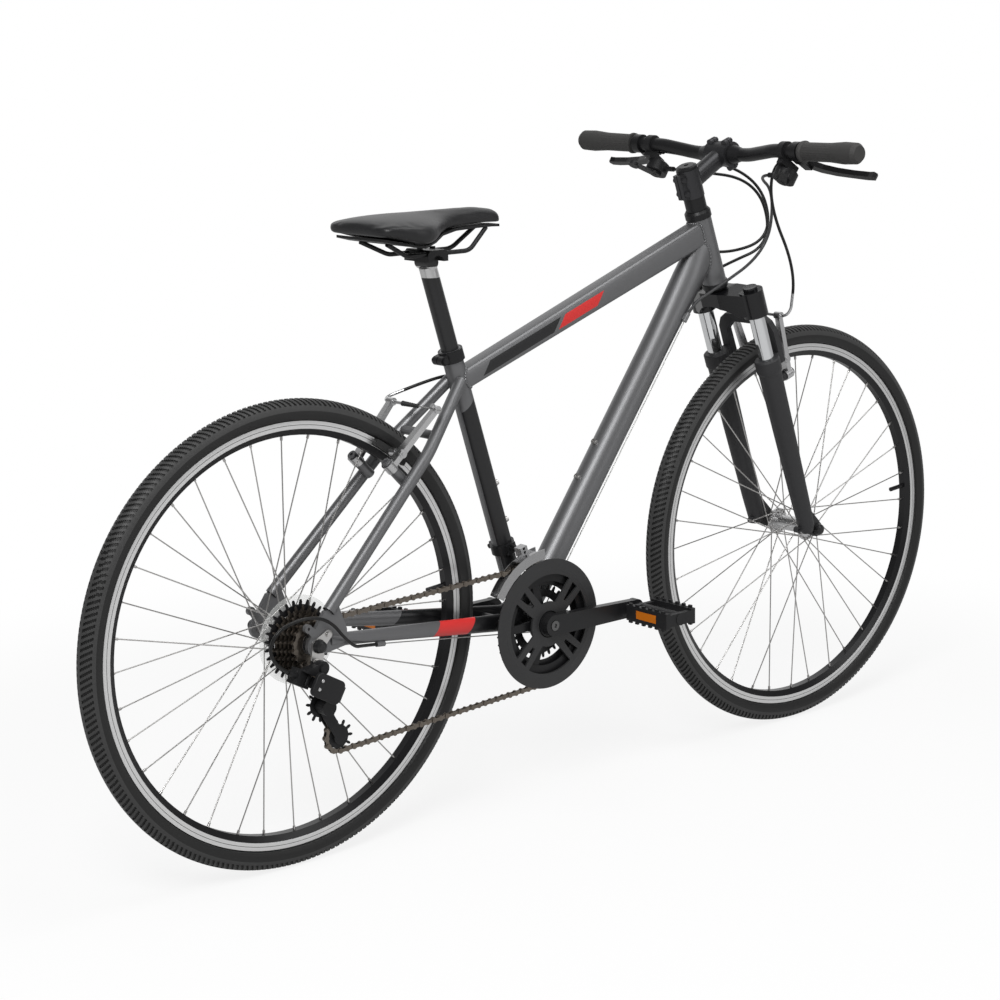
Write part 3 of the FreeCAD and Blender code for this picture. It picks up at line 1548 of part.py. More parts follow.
def make_rear_derailleur_body():
    """The claw hanger behind the axle nut, with the upper knuckle bolted to it."""
    inner = -(rear_hub_width / 2 + dropout_thickness)
    outer = inner - hanger_thickness
    thick = AXIS_Y * -hanger_thickness
    axle = rear_axle + AXIS_Y * inner
    bolt = hanger_bolt + AXIS_Y * inner
    top = rear_axle + V(hanger_screw_ahead, inner, hanger_screw_up)
    claw = joined([rod(axle, axle + thick, 11.5), rod(bolt, bolt + thick, 10), rod(top, top + thick, 7),
                   slab([axle + V(-11, 0, 2), bolt + V(-10, 0, 0), bolt + V(10, 0, 0),
                         axle + V(11, 0, -2)], thick),
                   slab([axle + V(4, 0, -10), top + V(5, 0, -5), top + V(-5, 0, 5), axle + V(-6, 0, 10)],
                        thick)])
    holes = [rod(axle - thick, axle + thick * 2, skewer_radius + 2),
             rod(bolt - thick, bolt + thick * 2, 5 + seat_gap)]
    claw = claw.cut(holes)
    screw = rod(top + thick, top + thick * 2, 4.0)
    base = AXIS_Y * (outer - bolt.y)
    drum = rod(bolt + base, bolt + base - AXIS_Y * 14, 11)
    pin = rod(bolt, bolt + base, 5)
    cap = rod(bolt + base - AXIS_Y * 14, bolt + base - AXIS_Y * 17, 6)
    ears = link_ears(link_root, -1)
    reach = derailleur_link_width / 2 + free_gap + 1
    web = slab([V(link_spot(link_root, -20, reach).x, outer - 14, link_spot(link_root, -20, reach).z),
                V(link_spot(link_root, 6, reach).x, outer - 14, link_spot(link_root, 6, reach).z),
                V(bolt.x + 10, outer - 14, bolt.z - 4), V(bolt.x - 8, outer - 14, bolt.z + 7)], AXIS_Y * 14)
    side_web = link_box(link_root, (-20, 6), (reach, reach + 2.4),
                        (outer - 14 - link_root.y, derailleur_link_gap))
    barrel_root = link_spot(link_root, -20, 0, -4)
    barrel = rod(barrel_root, barrel_root - link_level * 14, 4.2)
    mouth = rod(barrel_root - link_level * 4, barrel_root - link_level * 15, housing_radius + seat_gap)
    knuckle = joined([drum, pin, cap, web, side_web, barrel] + ears).cut(mouth)
    return [claw, screw, knuckle]


def make_knuckle():
    """The lower knuckle, which keeps its heading as the links swing and carries the cage."""
    half = derailleur_link_width / 2 + free_gap + 3.5
    near = -(chain_line + cage_half_gap + cage_plate + free_gap)
    far = near - 17
    drum = rod(V(guide_axle.x, far, guide_axle.z), V(guide_axle.x, near, guide_axle.z), 12)
    corner = link_spot(link_end, 4, -half + 1)
    front = link_spot(link_end, 20, -half + 1)
    web = slab([V(corner.x, far, corner.z), V(front.x, far, front.z),
                V(guide_axle.x + 11, far, guide_axle.z + 4),
                V(guide_axle.x - 11, far, guide_axle.z + 4)], AXIS_Y * (near - far))
    bore = rod(V(guide_axle.x, near + 1, guide_axle.z), V(guide_axle.x, far + 2, guide_axle.z),
               cage_pin_radius + running_gap)
    return [joined([drum, web] + link_ears(link_end, 1)).cut(bore)]


def make_cage():
    """Two plates that hold both pulleys, with the pin that turns in the lower knuckle."""
    shapes = []
    side = V(-cage_run.z, 0, cage_run.x)
    for sign in (-1, 1):
        y = sign * cage_half_gap
        thick = AXIS_Y * (sign * cage_plate)
        first = guide_axle + AXIS_Y * y
        last = tension_axle + AXIS_Y * y
        web = slab([first + side * 9, first - side * 9, last - side * 8, last + side * 8], thick)
        shapes.append(joined([rod(first, first + thick, 12), rod(last, last + thick, 11), web]))
    reach = AXIS_Y * cage_half_gap
    for axle in (guide_axle, tension_axle):
        shapes.append(rod(axle - reach, axle + reach, pulley_pin_radius))
    start = guide_axle - AXIS_Y * (cage_half_gap + cage_plate)
    shapes.append(rod(start, start - AXIS_Y * (free_gap + 14), cage_pin_radius))
    return [joined(shapes)]


def make_pulley(axle):
    """A toothed pulley on a cage pin."""
    phase = gap_phase(axle, pulley_teeth)
    bore = pulley_pin_radius + running_gap
    plate = toothed_plate(pulley_teeth, bore, sprocket_thickness, axle, phase)
    reach = AXIS_Y * (cage_half_gap - free_gap)
    return [joined([plate, pipe(axle - reach, axle + reach, 8, bore)])]


# The fork.


def plate_across(points, start, depth):
    """A flat outline given by y and height along the steering axis, with a depth ahead of a start."""
    corners = [fork_at(start, up, y) for y, up in points]
    return slab(corners, steer_ahead * depth)


def plate_level(points, start, height):
    """A flat outline given by distance ahead and y, with a height along the steering axis."""
    corners = [fork_at(ahead, start, y) for ahead, y in points]
    return slab(corners, steer_up * height)


def leg_rod(side, low, high, radius):
    y = side * leg_spacing / 2
    return rod(fork_at(leg_offset, low, y), fork_at(leg_offset, high, y), radius)


def make_fork_crown():
    """The crown with its two leg bosses and caps, and the steerer tube."""
    half = leg_spacing / 2
    reach = leg_offset + crown_boss_radius
    outline = [(-21, -20), (-21, 20), (leg_offset - crown_boss_radius, half), (reach, half), (26, 15),
               (26, -15),
               (reach, -half), (leg_offset - crown_boss_radius, -half)]
    low = crown_bottom + 5
    bridge = plate_level(outline, low, crown_mid_top - low)
    arch_centre = crown_arch_top - crown_arch_radius
    arch = rod(fork_at(-reach * 2, arch_centre), fork_at(reach * 2, arch_centre), crown_arch_radius)
    shoulders = [plate_across([(side * 22, crown_mid_top), (side * half * 2, crown_mid_top),
                               (side * half * 2, crown_mid_top - 20)], -reach, reach * 2)
                 for side in (RIGHT, LEFT)]
    parts = [bridge.cut([arch] + shoulders)]
    bores = []
    for side in (RIGHT, LEFT):
        parts.append(leg_rod(side, crown_bottom, crown_top, crown_boss_radius))
        parts.append(leg_rod(side, crown_top, crown_top + 6, stanchion_radius - 1))
        bores.append(leg_rod(side, crown_bottom - 1, crown_top - 3, stanchion_radius + seat_gap))
    parts.append(rod(fork_at(0, crown_arch_top - 1), fork_at(0, steerer_top), steerer_radius))
    bores.append(rod(fork_at(0, crown_arch_top - 20), fork_at(0, steerer_top + 1),
                     steerer_radius - steerer_wall))
    return [joined(parts).cut(bores)]


def make_stanchions():
    shapes = []
    for side in (RIGHT, LEFT):
        outer = leg_rod(side, stanchion_bottom, crown_top - 3, stanchion_radius)
        shapes.append(outer.cut(leg_rod(side, stanchion_bottom - 1, crown_top,
                                        stanchion_radius - stanchion_wall)))
    return shapes


def lower_leg(side):
    """One lower leg: a tapered casting with a collar at its mouth and a plate for the axle."""
    y = side * leg_spacing / 2
    collar = lower_top - lower_collar_height
    profile = [(lower_end, 0), (lower_end, lower_end_radius - 4), (lower_end + 10, lower_end_radius),
               (60, lower_end_radius + 1.5), (200, lower_mid_radius), (collar - 5, lower_mid_radius + 1.5),
               (collar, lower_collar_radius), (lower_top - 2, lower_collar_radius),
               (lower_top, lower_collar_radius - 2),
               (lower_top, 0)]
    leg = turned(profile, fork_at(leg_offset, 0, y), steer_up)
    inner = side * front_hub_width / 2
    outline = [(9, 14), (9, 62), (26, 66), (fork_offset + 10, 10), (fork_offset + 11, -5),
               (fork_offset, -13),
               (fork_offset - 10, -9)]
    thick = AXIS_Y * (side * fork_end_thickness)
    plate = slab([fork_at(ahead, up, inner) for ahead, up in outline], thick)
    disc = rod(front_axle + AXIS_Y * inner, front_axle + AXIS_Y * inner + thick, 13)
    eye = fork_at(1, 20, inner)
    tab = rod(eye, eye + thick, 5.5)
    return [leg, plate, disc, tab], rod(eye - thick, eye + thick * 2, eyelet_hole_radius)


def arch_outline():
    """Half of the arch as pairs of y and height, outer edge up and inner edge down."""
    outer = leg_spacing / 2 + 5
    base = lower_top - 20
    edge = [(outer, base), (outer - 1, arch_top - 28), (outer - 9, arch_top - 12),
            (outer - 22, arch_top - 3)]
    inner = [(outer - 36, arch_top - arch_band), (outer - 18, arch_top - arch_band * 2), (outer - 19, base)]
    return edge, inner


def make_fork_lowers():
    """Both lower legs, the arch that joins them and the front brake bosses."""
    parts = []
    holes = []
    place = front_brake_frame()
    for side in (RIGHT, LEFT):
        pieces, hole = lower_leg(side)
        parts += pieces
        holes.append(hole)
        bore_floor = stanchion_bottom - fork_travel - 8
        holes.append(leg_rod(side, bore_floor, lower_top + 1, stanchion_radius + running_gap))
        y = side * (leg_spacing / 2)
        base = lower_top - 20
        bridge = [(y - side * 13, base), (y + side * 5, base), (y + side * 5, lower_top),
                  (y - side * 13, lower_top)]
        parts.append(plate_across(bridge, leg_offset, arch_offset - leg_offset))
        parts.append(brake_boss(place, side,
                                front_brake_off + fork_offset - leg_offset - brake_base_depth - 6))
    edge, inner = arch_outline()
    outline = edge + [(-y, up) for y, up in reversed(edge)]
    outline += [(-y, up) for y, up in reversed(inner)] + inner
    parts.append(plate_across(outline, arch_offset - arch_depth / 2, arch_depth))
    half = AXIS_Y * (front_hub_width / 2 + fork_end_thickness + 5)
    holes.append(rod(front_axle - half, front_axle + half, axle_radius + seat_gap))
    return [joined(parts).cut(holes)]


# Stem, bar and controls.
bar_centre = fork_at(bar_ahead, bar_up)
cup_top = head_tube_bottom + head_tube_length + cup_height


def make_headset_spacers():
    """Spacer rings below the stem and the cap above it."""
    bore = steerer_radius + seat_gap
    shapes = []
    base = cup_top + free_gap
    height = (stem_bottom - base) / 2
    for index in range(2):
        low = base + height * index
        shapes.append(pipe(fork_at(0, low), fork_at(0, low + height), spacer_radius, bore))
    top = stem_bottom + stem_height
    shapes.append(turned([(top, 0), (top, stem_radius - 1.5), (top + 4, stem_radius - 1.5),
                          (top + 6, stem_radius - 5),
                          (top + 6, 4), (top + 3, 4), (top + 3, 0)], fork_at(0, 0), steer_up))
    return shapes


def stem_spot(ahead, up, y):
    return fork_at(bar_ahead + ahead, bar_up + up, y)


def make_stem():
    """The stem with its split steerer clamp, removable face plate and bolts."""
    top = stem_bottom + stem_height
    clamp = rod(fork_at(0, stem_bottom), fork_at(0, top), stem_radius)
    outer = bar_clamp_radius + bar_clamp_wall
    half = bar_clamp_width / 2
    barrel = rod(bar_centre - AXIS_Y * half, bar_centre + AXIS_Y * half, outer)
    arm = rod(fork_at(0, stem_bottom + stem_height / 2), bar_centre, stem_arm_radius)
    spine = plate_level([(-stem_radius - 8, -8), (-stem_radius - 8, 8), (0, 8), (0, -8)], stem_bottom + 3,
                        stem_height - 6)
    slot = plate_level([(-stem_radius - 9, -0.8), (-stem_radius - 9, 0.8), (0, 0.8), (0, -0.8)],
                       stem_bottom - 1,
                       stem_height + 2)
    lug_spots = [(y, up) for y in (-half + 7, half - 7) for up in (-outer, outer)]
    ears = [rod(stem_spot(-7, up, y), stem_spot(7, up, y), stem_lug_radius) for y, up in lug_spots]
    steerer_hole = rod(fork_at(0, stem_bottom - 1), fork_at(0, top + 1), steerer_radius + seat_gap)
    bar_hole = rod(bar_centre - AXIS_Y * 60, bar_centre + AXIS_Y * 60, bar_clamp_radius + seat_gap)
    bolts = []
    for up in (stem_bottom + 12, top - 12):
        head = rod(fork_at(-stem_radius - 3, up, -12), fork_at(-stem_radius - 3, up, -8), 4.5)
        shank = rod(fork_at(-stem_radius - 3, up, -8), fork_at(-stem_radius - 3, up, 8), 2.5)
        nut = rod(fork_at(-stem_radius - 3, up, 8), fork_at(-stem_radius - 3, up, 11), 4.5)
        bolts.append(joined([head, shank, nut]))
    for y, up in lug_spots:
        head = rod(stem_spot(7, up, y), stem_spot(11, up, y), 4.0)
        shank = rod(stem_spot(-7, up, y), stem_spot(7, up, y), 2.2)
        bolts.append(joined([head, shank]))
    body = joined([clamp, barrel, arm, spine] + ears).cut([steerer_hole, bar_hole, slot])
    body = body.cut(Part.makeCompound(bolts))
    gap = plate_level([(bar_ahead - 0.6, -60), (bar_ahead - 0.6, 60), (bar_ahead + 0.6, 60),
                       (bar_ahead + 0.6, -60)],
                      bar_up - 40, 80)
    halves = sorted(body.cut(gap).Solids, key=lambda solid: solid.Volume, reverse=True)
    return halves[:2] + bolts


def bar_points(side):
    """Corner points of half of the bar, from near the middle to its end."""
    return [bar_centre + AXIS_Y * (side * bar_straight),
            bar_centre + V(-bar_sweep * 0.52, side * bar_bend, bar_rise * 0.8),
            bar_centre + V(-bar_sweep, side * bar_half_width, bar_rise)]


def bar_run(radius):
    points = list(reversed(bar_points(RIGHT))) + bar_points(LEFT)
    return bent_rod(points, radius, bar_bend_radius)


def make_handlebar():
    """A riser bar, thicker where the stem grips it."""
    bulge = bar_bulge
    swell = turned([(-bulge - 10, bar_radius - 1), (-bulge - 10, bar_radius), (-bulge + 8, bar_clamp_radius),
                    (bulge - 8, bar_clamp_radius), (bulge + 10, bar_radius), (bulge + 10, bar_radius - 1)],
                   bar_centre, AXIS_Y)
    return [bar_run(bar_radius).fuse(swell).cut(bar_run(bar_radius - bar_wall))]


# Place and directions on the right-hand end of the bar: outward, ahead towards the lever, and up.
bar_out = (bar_points(RIGHT)[2] - bar_points(RIGHT)[1]).normalize()
lever_rad = math.radians(lever_down_angle)
lever_ahead = V(math.cos(lever_rad), 0, -math.sin(lever_rad))
lever_ahead = (lever_ahead - bar_out * bar_out.dot(lever_ahead)).normalize()
lever_up = bar_out.cross(lever_ahead)
grip_start = bar_points(RIGHT)[2] - bar_out * (grip_length - grip_end)


def bar_spot(out, ahead, up):
    """A point beside the right grip's inner end."""
    return grip_start + bar_out * out + lever_ahead * ahead + lever_up * up


def bar_plate(points, low, high):
    """A flat outline in the plane of the lever, between two heights."""
    corners = [bar_spot(out, ahead, low) for out, ahead in points]
    return slab(corners, lever_up * (high - low))


def bar_sleeve(start, end, radius):
    return pipe(bar_spot(start, 0, 0), bar_spot(end, 0, 0), radius, bar_radius + seat_gap)


def both_sides(shapes):
    return shapes + [mirrored(shape) for shape in shapes]


def right_grip():
    """A grip with a flange, a swollen palm and a closed end."""
    bore = bar_radius + seat_gap
    end = grip_length
    shut = end - grip_end
    profile = [(0, bore), (0, grip_radius + 1.5), (4, grip_radius + 2), (7, grip_radius - 0.5),
               (end * 0.5, grip_radius - 0.3), (end * 0.75, grip_flare_radius), (end - 6, grip_radius + 1.2),
               (end, grip_radius - 3), (end, 0), (shut, 0), (shut, bore)]
    return turned(profile, grip_start, bar_out)


def make_grips():
    return both_sides([right_grip()])


def lever_pivot():
    return bar_spot(-lever_pivot_in, lever_reach, 0)


def right_bracket():
    """The clamp on the bar with two cheeks that hold the brake lever's pin, and the cable's barrel."""
    half = lever_thickness / 2
    cheek = half + free_gap
    ring = bar_sleeve(-lever_clamp_far, -lever_clamp_near, control_clamp_radius)
    block = bar_plate([(-lever_pivot_in - 14, 6), (-lever_clamp_near, 6),
                       (-lever_clamp_near, lever_reach - 12),
                       (-lever_pivot_in - 14, lever_reach - 10)], -cheek - 3.5, cheek + 3.5)
    parts = [ring, block]
    for up in (-1, 1):
        low, high = sorted((up * cheek, up * (cheek + 3.5)))
        parts.append(bar_plate([(-lever_pivot_in - 10, lever_reach - 13),
                                (-lever_pivot_in + 8, lever_reach - 13),
                                (-lever_pivot_in + 7, lever_reach + 7),
                                (-lever_pivot_in - 8, lever_reach + 7)], low, high))
    pin = rod(lever_pivot() - lever_up * (cheek + 3), lever_pivot() + lever_up * (cheek + 3),
              lever_pin_radius)
    barrel = rod(bar_spot(-lever_pivot_in - 12, barrel_ahead, 0),
                 bar_spot(-lever_barrel_end, barrel_ahead, 0), 4.5)
    mouth = rod(bar_spot(-lever_barrel_end + 8, barrel_ahead, 0),
                bar_spot(-lever_barrel_end - 1, barrel_ahead, 0),
                housing_radius + seat_gap)
    bar_hole = rod(bar_spot(-60, 0, 0), bar_spot(20, 0, 0), bar_radius + seat_gap)
    return joined(parts + [pin, barrel]).cut([bar_hole, mouth])


def make_brackets():
    return both_sides([right_bracket()])


def right_lever():
    """The brake lever blade in front of the grip."""
    half = lever_thickness / 2
    inside = [(-lever_pivot_in - 7, lever_reach + 1), (-lever_pivot_in + 4, lever_reach - 7), (8, 44),
              (30, 52), (62, 58),
              (lever_length - 18, 61), (lever_length - 8, 60)]
    outside = [(lever_length - 5, 66), (lever_length - 9, 72), (lever_length - 26, 72), (62, 69),
               (26, 64), (-2, 56),
               (-lever_pivot_in - 4, lever_reach + 8)]
    blade = bar_plate(inside + outside, -half, half)
    bore = rod(lever_pivot() - lever_up * 20, lever_pivot() + lever_up * 20, lever_pin_radius + running_gap)
    return blade.cut(bore)


def right_pod():
    """The shifter's clamp and round housing below the bar, with its lever's pin and the cable's barrel."""
    low = -shifter_drop - shifter_height / 2
    high = -shifter_drop + shifter_height / 2
    ring = bar_sleeve(-shifter_clamp_far, -shifter_clamp_near, control_clamp_radius)
    neck = bar_plate([(-shifter_clamp_far, -2), (-shifter_clamp_near, -2),
                      (-shifter_clamp_near, shifter_ahead + 8),
                      (-shifter_clamp_far, shifter_ahead + 8)], high - 2, -9)
    drum = rod(bar_spot(-shifter_in, shifter_ahead, low), bar_spot(-shifter_in, shifter_ahead, high),
               shifter_radius)
    face = rod(bar_spot(-shifter_in, shifter_ahead, high), bar_spot(-shifter_in, shifter_ahead, high + 2.5),
               shifter_radius, shifter_radius - 4)
    pin = rod(bar_spot(-shifter_in, shifter_ahead, low - shift_lever_thickness - 1),
              bar_spot(-shifter_in, shifter_ahead,
                                                                                             low), 3.0)
    barrel = rod(bar_spot(-shifter_in - shifter_radius + 4, shifter_ahead, -shifter_drop),
                 bar_spot(-shifter_barrel_end, shifter_ahead, -shifter_drop), 4.2)
    mouth = rod(bar_spot(-shifter_barrel_end + 8, shifter_ahead, -shifter_drop),
                bar_spot(-shifter_barrel_end - 1, shifter_ahead, -shifter_drop), housing_radius + seat_gap)
    bar_hole = rod(bar_spot(-90, 0, 0), bar_spot(10, 0, 0), bar_radius + seat_gap)
    return joined([ring, neck, drum, face, pin, barrel]).cut([bar_hole, mouth])


def make_pods():
    return both_sides([right_pod()])


def right_shift_lever():
    """A thumb lever under the shifter housing."""
    high = -shifter_drop - shifter_height / 2 - free_gap
    low = high - shift_lever_thickness
    centre = (-shifter_in, shifter_ahead)
    tip = (-shift_tip_in, shift_tip_ahead)
    run_out = tip[0] - centre[0]
    run_ahead = tip[1] - centre[1]
    far = math.hypot(run_out, run_ahead)
    side = (-run_ahead / far, run_out / far)
    arm = bar_plate([(centre[0] + side[0] * 8, centre[1] + side[1] * 8),
                     (tip[0] + side[0] * 6, tip[1] + side[1] * 6),
                     (tip[0] - side[0] * 6, tip[1] - side[1] * 6),
                     (centre[0] - side[0] * 8, centre[1] - side[1] * 8)],
                    low, high)
    hub = rod(bar_spot(*centre, low), bar_spot(*centre, high), 10)
    pad = rod(bar_spot(*tip, low - 2), bar_spot(*tip, high), 9)
    bore = rod(bar_spot(*centre, low - 5), bar_spot(*centre, high + 5), 3.0 + running_gap)
    return joined([arm, hub, pad]).cut(bore)


# The brakes.


def pad_along(place):
    off = place[3]
    return math.sqrt(brake_track_radius ** 2 - off ** 2)


def arm_top(place, side):
    """The end of a brake arm, where the noodle or the wire is held."""
    return brake_pivot(place, side) + place[1] * brake_arm_length + AXIS_Y * (side * brake_arm_splay)


def noodle_points(place, side):
    """The bent pipe that leads a brake wire into the end of an arm."""
    centre, along, out, off = place
    tip = arm_top(place, side)
    away = AXIS_Y * side
    corner = tip + away * noodle_reach
    lean = math.radians(noodle_lean)
    lead = along * math.cos(lean) + out * math.sin(lean)
    if centre.x < 0:
        lead = (rear_lead() - corner).normalize()
    return [tip - away * noodle_inward, corner, corner + lead * noodle_rise]


def rear_lead():
    """The point beside the seat tube that the rear brake's housing passes."""
    return seat_at(seatstay_top_along + 10, seatstay_top_back - 2, seatstay_top_y * 2)


def make_brake_arm(place, side, has_noodle):
    """One brake arm with its shoe, and on the cable side the holder with the bent pipe."""
    centre, along, out, off = place
    pivot = brake_pivot(place, side)
    away = AXIS_Y * side
    half = brake_arm_width / 2
    deep = brake_arm_depth / 2
    base = rod(pivot - out * brake_base_depth, pivot + out * brake_base_depth, brake_base_radius)
    top = arm_top(place, side)
    foot = [pivot - away * half * 1.2 - out * deep, pivot + away * half * 1.2 - out * deep,
            pivot + away * half * 1.2 + out * deep, pivot - away * half * 1.2 + out * deep]
    head = [top - away * half * 0.7 - out * deep, top + away * half * 0.7 - out * deep,
            top + away * half * 0.7 + out * deep, top - away * half * 0.7 + out * deep]
    beam = loft([Part.makePolygon(foot + foot[:1]), Part.makePolygon(head + head[:1])], True)
    boss = rod(top - away * half, top + away * half, 6.0)
    shoe_spot = centre + along * pad_along(place) + out * off
    inner = rim_width / 2 + pad_gap
    stud = rod(shoe_spot + away * (inner + pad_thickness - 2),
               shoe_spot + away * (brake_pivot_y + half + 5), 3.2)
    washer = rod(shoe_spot + away * (brake_pivot_y + half), shoe_spot + away * (brake_pivot_y + half + 4),
                 6.5)
    cup = rod(shoe_spot + away * (inner + pad_thickness), shoe_spot + away * (brake_pivot_y - half + 1), 6.5)
    radial = (shoe_spot - centre).normalize()
    tangent = radial.cross(AXIS_Y)
    corners = []
    for step in range(7):
        place_along = (step / 6.0 - 0.5) * pad_length
        drop = math.sqrt(brake_track_radius ** 2 - place_along ** 2)
        corners.append((place_along, drop))
    outer_edge = [centre + tangent * a + radial * (d + pad_height / 2) for a, d in corners]
    inner_edge = [centre + tangent * a + radial * (d - pad_height / 2) for a, d in reversed(corners)]
    shoe = slab([point + away * inner for point in outer_edge + inner_edge], away * pad_thickness)
    bore = rod(pivot - out * 30, pivot + out * 30, brake_stud_radius + running_gap)
    wire_hole = rod(top - away * 20, top + away * 20,
                    housing_radius + seat_gap if has_noodle else wire_radius + 0.4)
    arm = joined([base, beam, boss, stud, washer, cup]).cut([bore, wire_hole, shoe])
    shapes = [arm, shoe]
    if has_noodle:
        bend = noodle_bend if centre.x > 0 else rear_noodle_bend
        shapes.append(bent_rod(noodle_points(place, side), housing_radius, bend))
    else:
        bolt = rod(top + out * 6, top + out * 10, 4.0)
        shapes.append(bolt)
    return shapes


# The seat.
saddle_hinge = seat_at(post_top_along)
rail_low = saddle_hinge.z + rail_lift
saddle_underside = saddle_hinge.z + saddle_lift
saddle_top = saddle_underside + saddle_depth
saddle_rear_x = saddle_hinge.x - saddle_setback


def make_seatpost():
    """A tube with a cross barrel on top that the saddle clamp tilts on."""
    end = saddle_hinge - seat_up * 7
    tube = pipe(seat_at(post_top_along - post_length), end, post_radius, post_radius - post_wall)
    barrel = rod(saddle_hinge - AXIS_Y * barrel_half, saddle_hinge + AXIS_Y * barrel_half,
                 saddle_barrel_radius)
    plug = rod(saddle_hinge - seat_up * 20, end, post_radius)
    return [joined([tube, plug, barrel])]


def rail_points(side):
    half = rail_spacing / 2
    back = saddle_rear_x
    return [V(back + rail_rear_end, side * half * 1.45, saddle_underside + 4.5),
            V(back + rail_flat_start, side * half, rail_low),
            V(back + rail_flat_end, side * half, rail_low),
            V(back + rail_front_end, side * half * 0.6, saddle_underside + 14)]


def rail_rod(side, radius):
    return bent_rod(rail_points(side), radius, rail_bend)


def make_saddle_rails():
    """Two bent rails in the clamp that sits on the seatpost's barrel."""
    rails = [rail_rod(side, rail_radius) for side in (RIGHT, LEFT)]
    x = saddle_hinge.x
    wide = rail_spacing / 2 + rail_radius + 3
    base = [V(x - 19, -wide, saddle_hinge.z + 2), V(x + 19, -wide, saddle_hinge.z + 2),
            V(x + 19, -wide, rail_low + 1), V(x + 14, -wide, rail_low + 6),
            V(x - 14, -wide, rail_low + 6), V(x - 19, -wide, rail_low + 1)]
    block = slab(base, AXIS_Y * (wide * 2))
    cradle = rod(saddle_hinge - AXIS_Y * 40, saddle_hinge + AXIS_Y * 40, saddle_barrel_radius + running_gap)
    bolts = [rod(V(x + step, 0, rail_low + 5), V(x + step, 0, rail_low + 9), 4.5) for step in (-12, 12)]
    return [joined([block.cut(cradle)] + rails + bolts)]


def saddle_section(x, half, base_half, low, shoulder, high):
    """One cross-section of the pad: a flat base, drawn-in sides and a crowned top."""
    def spot(y, z):
        return V(x, y, z)

    middle = low + (shoulder - low) * 0.55
    top_half = half * 0.8
    edges = [Part.LineSegment(spot(-base_half, low), spot(base_half, low)).toShape(),
             Part.Arc(spot(base_half, low), spot(half, middle), spot(top_half, shoulder)).toShape(),
             Part.Arc(spot(top_half, shoulder), spot(0, high), spot(-top_half, shoulder)).toShape(),
             Part.Arc(spot(-top_half, shoulder), spot(-half, middle), spot(-base_half, low)).toShape()]
    return Part.Wire(edges)


def saddle_rows():
    """Place along the saddle, half width, drop of the top and rise of the base for each section."""
    rows = ((0.0, 0.60, 14.0, 19.0), (0.05, 0.86, 7.0, 15.0), (0.16, 0.98, 4.0, 8.0),
            (0.29, 1.0, 3.0, 2.0), (0.41, 0.76, 3.0, 7.0), (0.52, 0.47, 2.0, 14.0),
            (0.64, 0.32, 1.0, 18.0), (0.78, 0.27, 0.5, 19.0), (0.92, 0.24, 4.5, 19.0),
            (0.98, 0.205, 10.0, 18.0), (1.0, 0.14, 19.0, 19.5))
    return [(saddle_rear_x + saddle_length * share, saddle_half_width * width, saddle_top - drop,
             saddle_underside + rise) for share, width, drop, rise in rows]


def saddle_pad_body():
    """The pad before its channel is cut."""
    sections = []
    for x, half, high, low in saddle_rows():
        shoulder = high - (high - low) * 0.2
        sections.append(saddle_section(x, half, half * 0.86, low, shoulder, high))
    return loft(sections)


def make_saddle_pad():
    """The soft top of the saddle, with a shallow channel along its middle."""
    channel = bent_rod([V(saddle_rear_x + 20, 0, saddle_top + 10),
                        V(saddle_rear_x + 120, 0, saddle_top + 10),
                        V(saddle_rear_x + 215, 0, saddle_top + 13)], 15.0)
    return [saddle_pad_body().cut(channel)]


def make_saddle_base():
    """The stiff shell under the pad, with sockets for the rails."""
    wires = []
    for x, half, high, low in saddle_rows()[1:-1]:
        reach = half * 0.8
        top = low - soft_gap
        bottom = top - base_thickness
        wires.append(Part.makePolygon([V(x, -reach, bottom), V(x, reach, bottom), V(x, reach, top),
                                       V(x, -reach, top),
                                       V(x, -reach, bottom)]))
    body = loft(wires, True)
    pad = moved(saddle_pad_body(), V(0, 0, -soft_gap))
    return [biggest(body.cut([pad] + [rail_rod(side, rail_radius) for side in (RIGHT, LEFT)]))]


wire_wrap = shell_radius + wire_radius + wire_wrap_gap


# The cables. Each housing is one run of straight lengths and tangent arcs; bare wires lie between the stops.


def other_side(point):
    return V(point.x, -point.y, point.z)


def stop_end(name):
    """The point inside a cable stop where its housing ends."""
    centre, along = stop_mouth(name)
    return centre + along * (cable_stop_length * 0.3)


def stop_lead(name, reach):
    """A point in line with a cable stop, on its housing side."""
    centre, along = stop_mouth(name)
    return centre - along * reach


def wire_out(name, reach):
    """A point in line with a cable stop, on its wire side."""
    centre, along = stop_mouth(name)
    return centre + along * reach


lever_mouth = bar_spot(-lever_barrel_end + 8, barrel_ahead, 0)
lever_lead = bar_spot(-lever_barrel_end - 34, barrel_ahead, 0)
shifter_mouth = bar_spot(-shifter_barrel_end + 8, shifter_ahead, -shifter_drop)
shifter_lead = bar_spot(-shifter_barrel_end - 28, shifter_ahead, -shifter_drop)


def brake_housing_rear():
    """Left lever to the top tube, then from the top tube to the rear brake's bent pipe."""
    front = [other_side(lever_mouth), other_side(lever_lead), fork_at(165, 604, 10), fork_at(132, 505, -24),
             fork_at(58, 500, 34), fork_at(-28, 566, 30), stop_lead("top_front", 26), stop_end("top_front")]
    pipe_end = noodle_points(rear_brake_frame(), LEFT)
    rear = [stop_end("top_rear"), stop_lead("top_rear", 24), rear_lead(), pipe_end[2]]
    return [front, rear]


def shift_housing_front():
    """Left shifter to the down tube."""
    return [other_side(shifter_mouth), other_side(shifter_lead), fork_at(150, 602, 0),
            fork_at(122, 500, -30),
            fork_at(52, 486, 26), stop_lead("left", 45), stop_end("left")]


